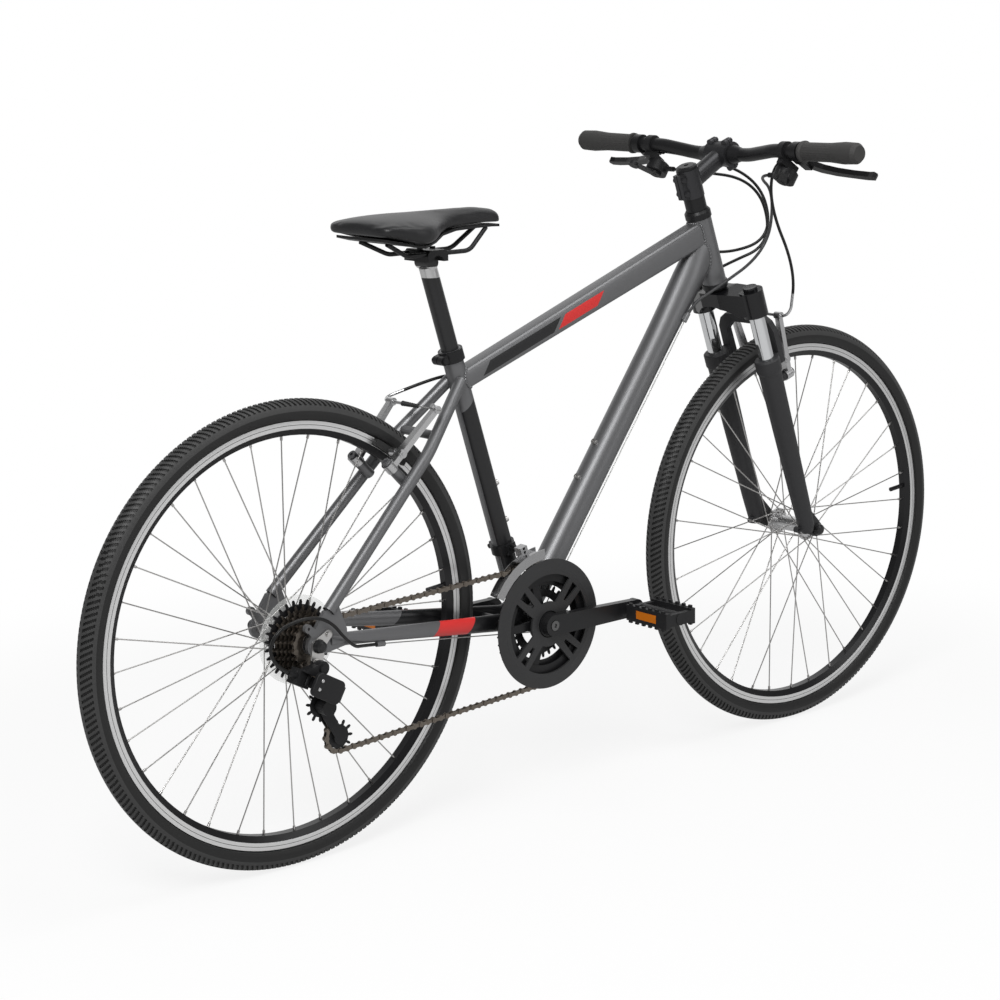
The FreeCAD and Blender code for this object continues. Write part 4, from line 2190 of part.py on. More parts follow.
def shift_housing_rear():
    """Right shifter to the down tube, and the loop from the chainstay to the rear derailleur."""
    barrel_root = link_spot(link_root, -20, 0, -4)
    barrel_end = barrel_root - link_level * 4
    front = [shifter_mouth, shifter_lead, fork_at(114, 598, -68), fork_at(86, 503, -50),
             fork_at(-40, 483, -30),
             stop_lead("right", 28), stop_end("right")]
    axle = rear_axle - AXIS_Y * (rear_hub_width / 2 + dropout_thickness)
    loop = [stop_end("stay"), stop_lead("stay", 34), axle + V(54, -12, -10), axle + V(0, -18, 52),
            axle + V(-82, -15, 44), barrel_root - link_level * 56, barrel_end]
    return [front, loop]


def bare_wires():
    """Bare wires along the tubes and under the bottom bracket."""
    under = bracket + V(wire_wrap * 0.45, 0, -wire_wrap * 1.09)
    behind = bracket + V(-wire_wrap * 1.13, -6, -wire_wrap * 1.04)
    right = [stop_end("right") + stop_mouth("right")[1] * 0.2, under - AXIS_Y * 12, wire_out("stay", 30),
             stop_end("stay") + stop_mouth("stay")[1] * 0.2]
    carrier = clamp_frame(band_along + 0.1, -3, -(carrier_inner + carrier_outer) / 2)
    left = [stop_end("left") + stop_mouth("left")[1] * 0.2, under + AXIS_Y * 12, behind, carrier]
    top = [stop_end("top_front") + stop_mouth("top_front")[1] * 0.2,
           stop_end("top_rear") + stop_mouth("top_rear")[1] * 0.2]
    return [right, left, top]


def brake_straddle(place, noodle_side):
    """The bare wire from the bent pipe to the far arm, with its rubber boot."""
    inner = arm_top(place, noodle_side) - AXIS_Y * (noodle_side * noodle_inward)
    far = arm_top(place, -noodle_side) - AXIS_Y * (noodle_side * 14)
    wire = rod(inner, far, wire_radius)
    towards = AXIS_Y * -noodle_side
    boot = rod(inner, inner + towards * boot_length, boot_radius, boot_radius - 1)
    return joined([wire, boot])


def make_control_cables():
    """Both shift cables and the rear brake cable."""
    housings = brake_housing_rear() + [shift_housing_front()] + shift_housing_rear()
    shapes = [bent_rod(points, housing_radius) for points in housings]
    right, left, top = bare_wires()
    shapes += [bent_rod(points, wire_radius, wire_wrap) for points in (right, left)]
    shapes.append(rod(top[0], top[1], wire_radius))
    shapes.append(brake_straddle(rear_brake_frame(), LEFT))
    return shapes


def make_front_brake_cable():
    """Right lever to the front brake's bent pipe, and the wire across the brake."""
    pipe_end = noodle_points(front_brake_frame(), RIGHT)
    lead = (pipe_end[2] - pipe_end[1]).normalize()
    points = [lever_mouth, lever_lead, fork_at(66, 598, -98), pipe_end[2] + lead * 40, pipe_end[2]]
    return [bent_rod(points, housing_radius), brake_straddle(front_brake_frame(), RIGHT)]


PIECES = [
    ("head_tube", lambda: [make_head_tube()]),
    ("top_tube", lambda: [make_top_tube()]),
    ("down_tube", lambda: [make_down_tube()]),
    ("seat_tube", lambda: [make_seat_tube()]),
    ("bottom_bracket_shell", lambda: [make_shell()]),
    ("chainstays", make_chainstays),
    ("seatstays", make_seatstays),
    ("frame_fittings", make_frame_fittings),
    ("bearing_cups", make_bearing_cups),
    ("seat_clamp", make_seat_clamp),
    ("rear_axle", make_rear_axle),
    ("front_axle", make_front_axle),
    ("front_tyre", lambda: [make_tyre(front_axle)]),
    ("rear_tyre", lambda: [make_tyre(rear_axle)]),
    ("front_rim", lambda: make_rim(front_axle, front_flanges)),
    ("rear_rim", lambda: make_rim(rear_axle, rear_flanges)),
    ("front_hub", make_front_hub),
    ("rear_hub", make_rear_hub),
    ("front_spokes", lambda: make_spokes(front_axle, front_flanges)),
    ("rear_spokes", lambda: make_spokes(rear_axle, rear_flanges)),
    ("spoke_protector", make_protector),
    ("freewheel_sprockets", make_sprockets),
    ("chainrings", make_chainrings),
    ("chain_guard", make_chain_guard),
    ("crank_arms", make_cranks),
    ("right_pedal", lambda: make_pedal(RIGHT, 1)),
    ("left_pedal", lambda: make_pedal(LEFT, -1)),
    ("chain", make_chain),
    ("front_derailleur_clamp", make_front_derailleur_clamp),
    ("front_derailleur_cage", make_front_derailleur_cage),
    ("rear_derailleur_body", make_rear_derailleur_body),
    ("rear_derailleur_outer_link", lambda: make_link(-1)),
    ("rear_derailleur_inner_link", lambda: make_link(1)),
    ("rear_derailleur_knuckle", make_knuckle),
    ("rear_derailleur_cage", make_cage),
    ("guide_pulley", lambda: make_pulley(guide_axle)),
    ("tension_pulley", lambda: make_pulley(tension_axle)),
    ("fork_crown", make_fork_crown),
    ("stanchions", make_stanchions),
    ("fork_lowers", make_fork_lowers),
    ("headset_spacers", make_headset_spacers),
    ("stem", make_stem),
    ("handlebar", make_handlebar),
    ("grips", make_grips),
    ("brake_lever_brackets", make_brackets),
    ("right_brake_lever", lambda: [right_lever()]),
    ("left_brake_lever", lambda: [mirrored(right_lever())]),
    ("shifter_pods", make_pods),
    ("right_shift_lever", lambda: [right_shift_lever()]),
    ("left_shift_lever", lambda: [mirrored(right_shift_lever())]),
    ("front_right_brake_arm", lambda: make_brake_arm(front_brake_frame(), RIGHT, True)),
    ("front_left_brake_arm", lambda: make_brake_arm(front_brake_frame(), LEFT, False)),
    ("rear_right_brake_arm", lambda: make_brake_arm(rear_brake_frame(), RIGHT, False)),
    ("rear_left_brake_arm", lambda: make_brake_arm(rear_brake_frame(), LEFT, True)),
    ("seatpost", make_seatpost),
    ("saddle_rails", make_saddle_rails),
    ("saddle_base", make_saddle_base),
    ("saddle_pad", make_saddle_pad),
    ("control_cables", make_control_cables),
    ("front_brake_cable", make_front_brake_cable),
]


os.makedirs("parts", exist_ok=True)
for piece_name, make_piece in PIECES:
    save(piece_name, make_piece())
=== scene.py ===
# %% [markdown]
# # A hybrid bike, dressed for the camera
#
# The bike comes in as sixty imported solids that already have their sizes, places and joints. This lesson gives
# them their finishes, and makes again the few pieces that a solid can't show well: the two large frame tubes,
# the treaded tyres, the cables and the padded saddle. Weld beads and the rear changer's cover are added.
# Everything is in metres, with the bike standing on the floor and its front along +X.

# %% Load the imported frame
import math

import bpy
from mathutils import Matrix, Vector


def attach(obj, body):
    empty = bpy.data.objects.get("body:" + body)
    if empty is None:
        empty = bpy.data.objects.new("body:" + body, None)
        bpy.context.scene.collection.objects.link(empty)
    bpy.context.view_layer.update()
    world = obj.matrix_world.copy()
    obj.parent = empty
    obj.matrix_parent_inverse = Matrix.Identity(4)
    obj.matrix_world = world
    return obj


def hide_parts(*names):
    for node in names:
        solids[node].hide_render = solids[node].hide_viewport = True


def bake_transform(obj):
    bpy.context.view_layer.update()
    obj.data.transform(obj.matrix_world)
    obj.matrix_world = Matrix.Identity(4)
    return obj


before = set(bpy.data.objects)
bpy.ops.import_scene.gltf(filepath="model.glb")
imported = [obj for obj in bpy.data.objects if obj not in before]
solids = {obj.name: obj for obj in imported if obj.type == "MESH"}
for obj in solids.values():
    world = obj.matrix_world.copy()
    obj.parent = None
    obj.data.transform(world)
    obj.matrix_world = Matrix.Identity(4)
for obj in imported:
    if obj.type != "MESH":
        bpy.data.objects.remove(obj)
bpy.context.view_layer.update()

# %% [markdown]
# Some places come up again and again: the axles, the bottom bracket, the lines of the seat tube and of the
# steering, and the stops that hold the cables. They could be typed wherever they are needed, but then two of
# them could drift apart, so each is named once. A cable stop has its middle and the way its wire leaves it.

# %% Name the shared places
AHEAD, LEFT, RIGHT, UP = (1.0, 0.0, 0.0), (0.0, 1.0, 0.0), (0.0, -1.0, 0.0), (0.0, 0.0, 1.0)
rear_axle = (-0.5425, 0.0, 0.349)
front_axle = (0.5425, 0.0, 0.349)
bracket = Vector((-0.088, 0.0, 0.296))
seat_rise = Vector((-0.297375, 0.0, 0.954761))
seat_back = Vector((-0.954761, 0.0, -0.297375))
steer_foot = Vector((0.5018427, 0.0, 0.3350006))
steer_rise = Vector((-0.325568, 0.0, 0.945519))
steer_ahead = Vector((0.945519, 0.0, 0.325568))
right_stop = ((0.254931, -0.024096, 0.741441), (-0.59118, 0.0, -0.80654))
left_stop = ((0.254931, 0.024096, 0.741441), (-0.59118, 0.0, -0.80654))
stay_stop = ((-0.419875, -0.062587, 0.326403), (0.98635, 0.10198, -0.12928))
top_front_stop = ((0.232225, 0.021, 0.846839), (-0.94074, 0.0, -0.33912))
top_rear_stop = ((-0.172294, 0.021, 0.701017), (0.94074, 0.0, 0.33912))
cable_stops = (right_stop, left_stop, stay_stop, top_front_stop, top_rear_stop)
print("named the axles, the tubes' lines and", len(cable_stops), "cable stops")

# %% [markdown]
# Three helpers for pieces and three for shader nodes keep the steps below short.


# %% Helpers for pieces
def only_this(piece):
    bpy.ops.object.select_all(action="DESELECT")
    piece.select_set(True)
    bpy.context.view_layer.objects.active = piece


def begin_piece(name, primitive, **options):
    """Adds a primitive and takes its place and turn into its mesh."""
    bpy.ops.object.select_all(action="DESELECT")
    primitive(**options)
    piece = bpy.context.object
    piece.name = name
    bpy.ops.object.transform_apply(location=True, rotation=True, scale=True)
    return piece


def reshape(piece, name, kind, **settings):
    """Adds one modifier with its settings and applies it."""
    modifier = piece.modifiers.new(name, kind)
    for setting, value in settings.items():
        setattr(modifier, setting, value)
    bpy.ops.object.modifier_apply(modifier=modifier.name)


print("piece helpers ready")


# %% Helpers for shader nodes
def feed(tree, socket, value):
    """Sets a socket to a plain value, or links it to another node's output."""
    if isinstance(value, bpy.types.NodeSocket):
        tree.links.new(value, socket)
    else:
        socket.default_value = value


def add_node(tree, kind, *values, operation=None, **named):
    """A node with inputs given in order, or by name with _ for each space; puts out its outputs."""
    node = tree.nodes.new("ShaderNode" + kind)
    if operation:
        node.operation = operation
    for socket, value in zip(node.inputs, values):
        feed(tree, socket, value)
    for label, value in named.items():
        feed(tree, node.inputs[label.replace("_", " ")], value)
    return node.outputs


def add_math(tree, operation, *values):
    return add_node(tree, "Math", *values, operation=operation)["Value"]


def fade_between(tree, value, start, end, low, high):
    """A soft step: low before the start, high after the end."""
    fade = add_node(tree, "MapRange", Value=value, From_Min=start, From_Max=end, To_Min=low, To_Max=high)
    fade["Result"].node.interpolation_type = "SMOOTHSTEP"
    return fade["Result"]


def start_material(name):
    material = bpy.data.materials.new(name)
    material.use_nodes = True
    return material, material.node_tree, material.node_tree.nodes["Principled BSDF"]


print("node helpers ready")

# %% [markdown]
# ## Camera
#
# The photograph looks at the drive side from behind and a little above. The camera could be placed by eye,
# but the two wheels are circles of known size, so its direction, distance and lens were worked out from
# them. It has a slight roll, as a camera held by hand has.


# %% Stand the camera
def stand_camera(azimuth, elevation, roll, distance, target, lens):
    turn, rise, tip = (math.radians(angle) for angle in (azimuth, elevation, roll))
    back = Vector((math.sin(turn) * math.cos(rise), -math.cos(turn) * math.cos(rise), math.sin(rise)))
    right = Vector(UP).cross(back).normalized()
    level = Matrix((right, back.cross(right), back)).transposed()
    data = bpy.data.cameras.new("photo_camera")
    data.lens = lens
    data.sensor_width = 36.0
    camera = bpy.data.objects.new("photo_camera", data)
    bpy.context.scene.collection.objects.link(camera)
    spin = Matrix.Rotation(tip, 3, "Z")
    camera.matrix_world = Matrix.Translation(Vector(target) + back * distance) @ (level @ spin).to_4x4()
    bpy.context.scene.camera = camera
    return camera


camera = stand_camera(azimuth=-40.656, elevation=11.868, roll=-0.799, distance=3.684,
                      target=(-0.1299, 0.0, 0.4906), lens=85.252)
print("camera at", tuple(round(v, 3) for v in camera.location))

# %% [markdown]
# ## Studio
#
# The bike stood in a white studio. A bright world could flood it with light, but then every dark part turns
# grey. So the world lights the bike softly, and only rays that come straight from the camera or through clear
# plastic see it as plain white. Polished parts see what a real studio shows them: a white backdrop behind the
# bike and a dimmer room on the side of the camera. That is where the dark edges along bright tubes come from.


# %% Light the studio
def seen_directly(tree, reflected):
    """1 for a ray from the camera or through clear plastic, and a share of that for a reflection."""
    path = add_node(tree, "LightPath")
    mirrored = add_math(tree, "MULTIPLY", path["Is Glossy Ray"], reflected)
    seen = add_math(tree, "MAXIMUM", path["Is Camera Ray"], mirrored)
    return add_math(tree, "MAXIMUM", seen, path["Is Transmission Ray"])


def add_glow(tree, strength):
    """A white background of one strength, or of a strength that comes from another node."""
    return add_node(tree, "Background", Color=(1.0, 1.0, 1.0, 1.0), Strength=strength)["Background"]


def choose_shader(tree, factor, first, second):
    return add_node(tree, "MixShader", factor, first, second)["Shader"]


def light_world(strength, room, backdrop):
    """Soft light from all round; reflections see a room that turns white towards the backdrop."""
    world = bpy.data.worlds.new("white_studio")
    world.use_nodes = True
    tree = world.node_tree
    tree.nodes.remove(tree.nodes["Background"])
    direction = add_node(tree, "TexCoord")["Generated"]
    towards = add_node(tree, "VectorMath", direction, backdrop, operation="DOT_PRODUCT")["Value"]
    mirrored = add_glow(tree, fade_between(tree, towards, 0.30, 0.85, room, 1.0))
    glossy = add_node(tree, "LightPath")["Is Glossy Ray"]
    lit = choose_shader(tree, glossy, add_glow(tree, strength), mirrored)
    seen = choose_shader(tree, seen_directly(tree, 0.0), lit, add_glow(tree, 1.0))
    tree.links.new(seen, tree.nodes["World Output"].inputs["Surface"])
    bpy.context.scene.world = world


def hang_softbox(name, place, width, height, power):
    """A rectangular lamp that looks at the middle of the bike."""
    data = bpy.data.lights.new(name, "AREA")
    data.shape = "RECTANGLE"
    data.size = width
    data.size_y = height
    data.energy = power
    lamp = bpy.data.objects.new(name, data)
    bpy.context.scene.collection.objects.link(lamp)
    lamp.location = place
    lamp.rotation_euler = (Vector((0.0, 0.0, 0.5)) - Vector(place)).to_track_quat("-Z", "Y").to_euler()
    return lamp


bpy.context.scene.view_settings.view_transform = "Standard"
light_world(strength=0.30, room=0.16, backdrop=(0.65, 0.76, 0.0))
softboxes = [
    hang_softbox("key_softbox", (-2.4, -1.6, 2.8), 1.4, 1.4, 75.0),
    hang_softbox("overhead_softbox", (0.6, -0.9, 3.3), 2.6, 1.4, 34.0),
    hang_softbox("fill_softbox", (1.6, -3.0, 1.8), 1.4, 2.0, 16.0),
]
print("hung", len(softboxes), "softboxes")

# %% [markdown]
# The floor is a wide disc. Far from the bike it is simply white, so no horizon shows; near the bike part of
# its colour comes from the light that falls on it, and that part is what carries the shadow.


# %% Lay the floor
def lay_floor(radius, shadow_share, seen_tone, bounce_tone):
    """A pale floor; the light that it throws back up at the bike has a tone of its own."""
    floor = begin_piece("studio_floor", bpy.ops.mesh.primitive_circle_add, vertices=128, radius=radius,
                        fill_type="NGON")
    material, tree, matt = start_material("studio_floor")
    seen = add_node(tree, "LightPath")["Is Camera Ray"]
    tone = add_node(tree, "MapRange", Value=seen, To_Min=bounce_tone, To_Max=seen_tone)["Result"]
    tree.links.new(tone, matt.inputs["Base Color"])
    matt.inputs["Roughness"].default_value = 0.9
    matt.inputs["Specular IOR Level"].default_value = 0.0
    white = add_node(tree, "Emission", Strength=1.0)["Emission"]
    place = add_node(tree, "TexCoord")["Object"]
    reach = add_node(tree, "VectorMath", place, operation="LENGTH")["Value"]
    far = fade_between(tree, reach, 0.9, 1.7, 1.0 - shadow_share, 1.0)
    plain = add_math(tree, "MULTIPLY", far, seen_directly(tree, 0.35))
    shown = choose_shader(tree, plain, matt.outputs["BSDF"], white)
    tree.links.new(shown, tree.nodes["Material Output"].inputs["Surface"])
    floor.data.materials.append(material)
    return floor


floor = lay_floor(radius=40.0, shadow_share=0.16, seen_tone=0.95, bounce_tone=0.50)
print("floor is", round(floor.dimensions.x), "m across")

# %% [markdown]
# ## Shared finish effects
#
# Every real finish varies a little: paint has flakes, rubber has dust, anodising has a cloudy sheen. Each
# material could have its own noise, but the effect is the same, so it is a node group with its own values in
# each material. Four more groups pick out a place: a ring about an axle, the inside of a hoop, a span along a
# direction and a ball about a point. They put out masks, and the masks lay one finish over another, as masking
# tape does.

# %% Build the grain
socket_kinds = {"Vector": "NodeSocketVector", "Centre": "NodeSocketVector", "Direction": "NodeSocketVector",
                "Colour": "NodeSocketColor"}


def start_group(name, inputs, outputs):
    """A node group; a socket whose label isn't among the kinds holds a number."""
    group = bpy.data.node_groups.new(name, "ShaderNodeTree")
    for side, labels in (("INPUT", inputs), ("OUTPUT", outputs)):
        for label in labels:
            kind = socket_kinds.get(label, "NodeSocketFloat")
            group.interface.new_socket(label, in_out=side, socket_type=kind)
    return group, group.nodes.new("NodeGroupInput").outputs, group.nodes.new("NodeGroupOutput").inputs


def build_finish_grain():
    group, start, end = start_group(
        "finish_grain", ("Vector", "Scale", "Colour", "Colour change", "Roughness", "Roughness change"),
        ("Colour", "Roughness", "Height"))
    noise = add_node(group, "TexNoise", Vector=start["Vector"], Scale=start["Scale"], Detail=5.0)["Fac"]
    level = add_math(group, "SUBTRACT", noise, 0.5)
    gain = add_math(group, "ADD", add_math(group, "MULTIPLY", level, start["Colour change"]), 1.0)
    tint = add_node(group, "VectorMath", start["Colour"], operation="SCALE", Scale=gain)["Vector"]
    spread = add_math(group, "MULTIPLY", level, start["Roughness change"])
    rough = add_math(group, "ADD", spread, start["Roughness"])
    for label, value in (("Colour", tint), ("Roughness", rough), ("Height", noise)):
        group.links.new(value, end[label])
    return group


finish_grain = build_finish_grain()
print("effect group:", finish_grain.name)


# %% Build the masks
def between(tree, value, low, high):
    return add_math(tree, "MULTIPLY", add_math(tree, "GREATER_THAN", value, low),
                    add_math(tree, "LESS_THAN", value, high))


def from_axle(group, start):
    """The offset from the centre, and how far that is from an axle that runs across the bike."""
    offset = add_node(group, "VectorMath", start["Vector"], start["Centre"], operation="SUBTRACT")["Vector"]
    flat = add_node(group, "VectorMath", offset, (1.0, 0.0, 1.0), operation="MULTIPLY")["Vector"]
    return offset, add_node(group, "VectorMath", flat, operation="LENGTH")["Value"]


def in_ring(group, start):
    return between(group, from_axle(group, start)[1], start["Inner"], start["Outer"])


def in_hoop(group, start):
    offset, reach = from_axle(group, start)
    out = add_math(group, "SUBTRACT", reach, start["Reach"])
    side = add_node(group, "VectorMath", offset, LEFT, operation="DOT_PRODUCT")["Value"]
    squares = add_math(group, "ADD", add_math(group, "MULTIPLY", out, out),
                       add_math(group, "MULTIPLY", side, side))
    return add_math(group, "LESS_THAN", add_math(group, "SQRT", squares), start["Radius"])


def in_span(group, start):
    along = add_node(group, "VectorMath", start["Vector"], start["Direction"], operation="DOT_PRODUCT")["Value"]
    return between(group, along, start["Start"], start["End"])


def in_ball(group, start):
    away = add_node(group, "VectorMath", start["Vector"], start["Centre"], operation="DISTANCE")["Value"]
    return add_math(group, "LESS_THAN", away, start["Radius"])


def build_mask(name, inputs, test):
    """A group that puts out 1 where its test is met and 0 elsewhere."""
    group, start, end = start_group(name, ("Vector", *inputs), ("Mask",))
    group.links.new(test(group, start), end["Mask"])
    return group


ring_about_axle = build_mask("ring_about_axle", ("Centre", "Inner", "Outer"), in_ring)
hoop_about_axle = build_mask("hoop_about_axle", ("Centre", "Reach", "Radius"), in_hoop)
span_along = build_mask("span_along", ("Direction", "Start", "End"), in_span)
ball_about = build_mask("ball_about", ("Centre", "Radius"), in_ball)
print("effect groups:", sorted(group.name for group in bpy.data.node_groups))

# %% [markdown]
# A finish is a material that starts from one colour and its grain. More colours are laid over it with the
# masks. Numbers that are the same all over, such as how metallic a bare part is, sit on the shader itself.


# %% Helpers that mix a finish
def use_group(finish, group, **values):
    tree = finish["tree"]
    node = tree.nodes.new("ShaderNodeGroup")
    node.node_tree = group
    tree.links.new(finish["place"], node.inputs["Vector"])
    for label, value in values.items():
        node.inputs[label.replace("_", " ")].default_value = value
    return node.outputs


def lift_surface(finish, height, depth):
    tree = finish["tree"]
    normal = finish["shader"].inputs["Normal"]
    bump = add_node(tree, "Bump", Strength=1.0, Distance=depth, Height=height)["Normal"]
    if normal.links:
        tree.links.new(normal.links[0].from_socket, bump.node.inputs["Normal"])
    tree.links.new(bump, normal)


def mix_finish(name, colour, roughness, metallic=0.0, coat=0.0, grain=500.0, tone=0.16, cloud=0.12, bump=0.0,
               shine=0.5):
    """A base finish: its colour and roughness drift with the grain, and bump lifts the grain in metres."""
    material, tree, shader = start_material(name)
    shader.inputs["Metallic"].default_value = metallic
    shader.inputs["Coat Weight"].default_value = coat
    shader.inputs["Coat Roughness"].default_value = 0.12
    shader.inputs["Specular IOR Level"].default_value = shine
    place = add_node(tree, "TexCoord")["Object"]
    finish = {"material": material, "tree": tree, "shader": shader, "place": place}
    base = use_group(finish, finish_grain, Scale=grain, Colour=(*colour, 1.0), Colour_change=tone,
                     Roughness=roughness, Roughness_change=cloud)
    tree.links.new(base["Colour"], shader.inputs["Base Color"])
    tree.links.new(base["Roughness"], shader.inputs["Roughness"])
    if bump:
        lift_surface(finish, base["Height"], bump)
    return finish


def paint(finish, *names):
    """Gives solids a finish in place of the plain one they were packed with."""
    for name in names:
        solids[name].data.materials.clear()
        solids[name].data.materials.append(finish["material"])


print("finish helpers ready")


# %% Helpers that mask a finish
def ring(finish, centre, inner, outer):
    return use_group(finish, ring_about_axle, Centre=centre, Inner=inner, Outer=outer)["Mask"]


def hoop(finish, centre, reach, radius):
    return use_group(finish, hoop_about_axle, Centre=centre, Reach=reach, Radius=radius)["Mask"]


def span(finish, direction, start, end):
    return use_group(finish, span_along, Direction=tuple(direction), Start=start, End=end)["Mask"]


def ball(finish, centre, radius):
    return use_group(finish, ball_about, Centre=centre, Radius=radius)["Mask"]


def join_masks(finish, operation, masks):
    total = masks[0]
    for mask in masks[1:]:
        total = add_math(finish["tree"], operation, total, mask)
    return total


def both_of(finish, *masks):
    return join_masks(finish, "MULTIPLY", masks)


def any_of(finish, *masks):
    return join_masks(finish, "MAXIMUM", masks)


def on_sides(finish, start, end):
    """Two spans, one to each side, measured from the middle of the bike."""
    return any_of(finish, span(finish, RIGHT, start, end), span(finish, LEFT, start, end))


def cover(finish, mask, colour=None, roughness=None, metallic=None):
    """Lays another colour, roughness or metal over the finish where the mask is 1."""
    tree = finish["tree"]
    for label, value in (("Base Color", colour), ("Roughness", roughness), ("Metallic", metallic)):
        if value is None:
            continue
        socket = finish["shader"].inputs[label]
        mix = tree.nodes.new("ShaderNodeMix")
        mix.data_type = "RGBA" if label == "Base Color" else "FLOAT"
        factor, under, over, out = (0, 6, 7, 2) if label == "Base Color" else (0, 2, 3, 0)
        tree.links.new(mask, mix.inputs[factor])
        feed(tree, mix.inputs[under], socket.links[0].from_socket if socket.links else socket.default_value)
        mix.inputs[over].default_value = (*value, 1.0) if label == "Base Color" else value
        tree.links.new(mix.outputs[out], socket)


print("mask helpers ready")

# %% [markdown]
# ## Frame paint
#
# The frame is sprayed in a satin dark grey with fine metal flakes under a thin lacquer. Flat grey would look
# like primer, so the grain is half a millimetre fine, the base is partly metallic, and a weak coat gives the
# soft bright line along the tubes.

# %% Spray the frame
grey_paint = (0.190, 0.191, 0.196)
black_paint = (0.008, 0.008, 0.009)
red_paint = (0.72, 0.030, 0.028)


def spray_grey(name):
    return mix_finish(name, grey_paint, 0.44, metallic=0.75, coat=0.06, grain=1800.0, tone=0.22, cloud=0.10)


frame_grey = spray_grey("frame_grey")
paint(frame_grey, "head_tube", "bottom_bracket_shell", "seatstays")
print("sprayed the plain tubes")

# %% [markdown]
# The top tube carries two slanted blocks on each side, a long black one and a short red one ahead of it. They
# could be thin decals of their own, but on the real bike they lie under the lacquer, so they are painted:
# a span along the slant, cut to the height of the tube's flat side.

# %% Paint the top tube's blocks
top_run = Vector((0.940744, 0.0, 0.339117))
top_rise = Vector((-0.339117, 0.0, 0.940744))
top_start = Vector((-0.20993, 0.0, 0.68745))
top_paint = spray_grey("top_tube_paint")
block_slant = top_run - 1.25 * top_rise
block_half = 0.0085
slant_zero = block_slant.dot(top_start)
rise_zero = top_rise.dot(top_start)
block_height = span(top_paint, top_rise, rise_zero - block_half, rise_zero + block_half)
for colour, block_start, block_end in ((black_paint, 0.0466, 0.2017), (red_paint, 0.2120, 0.3003)):
    block = span(top_paint, block_slant, slant_zero + block_start, slant_zero + block_end)
    cover(top_paint, both_of(top_paint, block, block_height), colour, roughness=0.36, metallic=0.0)
print("painted two blocks for the top tube")

# %% [markdown]
# The chainstays turn from grey to black towards the cranks, with a red block on their outer faces between. The
# seat tube has a black panel with slanted ends on its sides.

# %% Paint the chainstays and the seat tube
stay_run = Vector((0.993271, 0.0, -0.115816))
stay_rise = Vector((0.115816, 0.0, 0.993271))
stay_slant = stay_run - 0.65 * stay_rise
black_from, red_to = -0.5255, -0.4490
stay_paint = spray_grey("chainstay_paint")
outer_side = any_of(stay_paint, *(span(stay_paint, (0.1028, side * 0.9947, 0.0), 0.0158, 0.200)
                                  for side in (-1, 1)))
red_block = both_of(stay_paint, outer_side, span(stay_paint, stay_slant, black_from, red_to))
cover(stay_paint, span(stay_paint, stay_slant, black_from, 0.5), black_paint, roughness=0.36, metallic=0.0)
cover(stay_paint, red_block, red_paint, roughness=0.36, metallic=0.0)
paint(stay_paint, "chainstays")
seat_paint = spray_grey("seat_tube_paint")
panel_slant = seat_rise + 0.6 * seat_back
panel_zero = panel_slant.dot(bracket)
back_zero = seat_back.dot(bracket)
panel = both_of(seat_paint, span(seat_paint, panel_slant, panel_zero + 0.075, panel_zero + 0.372),
                span(seat_paint, seat_back, back_zero - 0.0125, back_zero + 0.0145))
cover(seat_paint, panel, black_paint, roughness=0.38, metallic=0.0)
paint(seat_paint, "seat_tube")
print("painted the chainstays and the seat tube")

# %% [markdown]
# ## Tubes and welds
#
# The top tube and the down tube are drawn tubes with long smooth sides, and every facet would show in the
# bright line along them. So both are formed again: a cylinder is cut into rings, and each ring is stretched to
# the tube's outline at that place. The top tube is a rounded box that grows towards the head tube; the down
# tube is round and turns into an upright oval that runs into the head tube's wall.

# %% Outlines of the two tubes
top_length = 0.55826
down_end = Vector((0.322455, 0.0, 0.855981))
down_run = (down_end - bracket).normalized()
down_rise = Vector((-down_run.z, 0.0, down_run.x))


def ease(value, low, high):
    share = min(max((value - low) / (high - low), 0.0), 1.0)
    return share * share * (3.0 - 2.0 * share)


def box_side(flat, corner, lean):
    """How far out a rounded box reaches where its outline leans by this much."""
    return math.copysign(flat * min(abs(lean) * 2.2, 1.0), lean) + corner * lean


def top_outline(share, turn):
    """A place on the top tube's skin: a share of its length, and a turn about its axis."""
    half_width, corner = 0.016, 0.009
    half_height = 0.016 + 0.005 * share
    y = box_side(half_width - corner, corner, math.cos(turn))
    z = box_side(half_height - corner, corner, math.sin(turn))
    return top_start + top_run * (top_length * share) + Vector((0.0, y, 0.0)) + top_rise * z


def down_outline(share, turn):
    tall = 0.020 + 0.003 * ease(share, 0.0, 0.16) + 0.006 * ease(share, 0.70, 1.0)
    wide = 0.020 + 0.003 * ease(share, 0.0, 0.16) - 0.006 * ease(share, 0.90, 1.0)
    centre = bracket + (down_end - bracket) * share
    return centre + Vector((0.0, wide * math.cos(turn), 0.0)) + down_rise * (tall * math.sin(turn))


print("top tube", round(top_length, 3), "m, down tube", round((down_end - bracket).length, 3), "m")


# %% Form the tubes
def slice_piece(start, run, slices):
    """Cuts the active piece into equal slices along a run."""
    bpy.ops.object.mode_set(mode="EDIT")
    for cut in range(1, slices):
        bpy.ops.mesh.select_all(action="SELECT")
        bpy.ops.mesh.bisect(plane_co=start + run * cut / slices, plane_no=run.normalized())
    bpy.ops.object.mode_set(mode="OBJECT")


def form_tube(name, outline, start, end, rings):
    """A cylinder cut into rings whose points are then drawn out to the outline."""
    run = end - start
    tube = begin_piece(name, bpy.ops.mesh.primitive_cylinder_add, vertices=72, radius=0.02, depth=run.length,
                       location=(start + end) / 2, rotation=run.to_track_quat("Z", "Y").to_euler())
    slice_piece(start, run, rings)
    rise = Vector((-run.z, 0.0, run.x)).normalized()
    for vertex in tube.data.vertices:
        away = vertex.co - start
        share = away.dot(run) / run.length_squared
        vertex.co = outline(share, math.atan2(away.dot(rise), away.y))
    bpy.ops.object.shade_smooth_by_angle(angle=math.radians(40))
    return tube


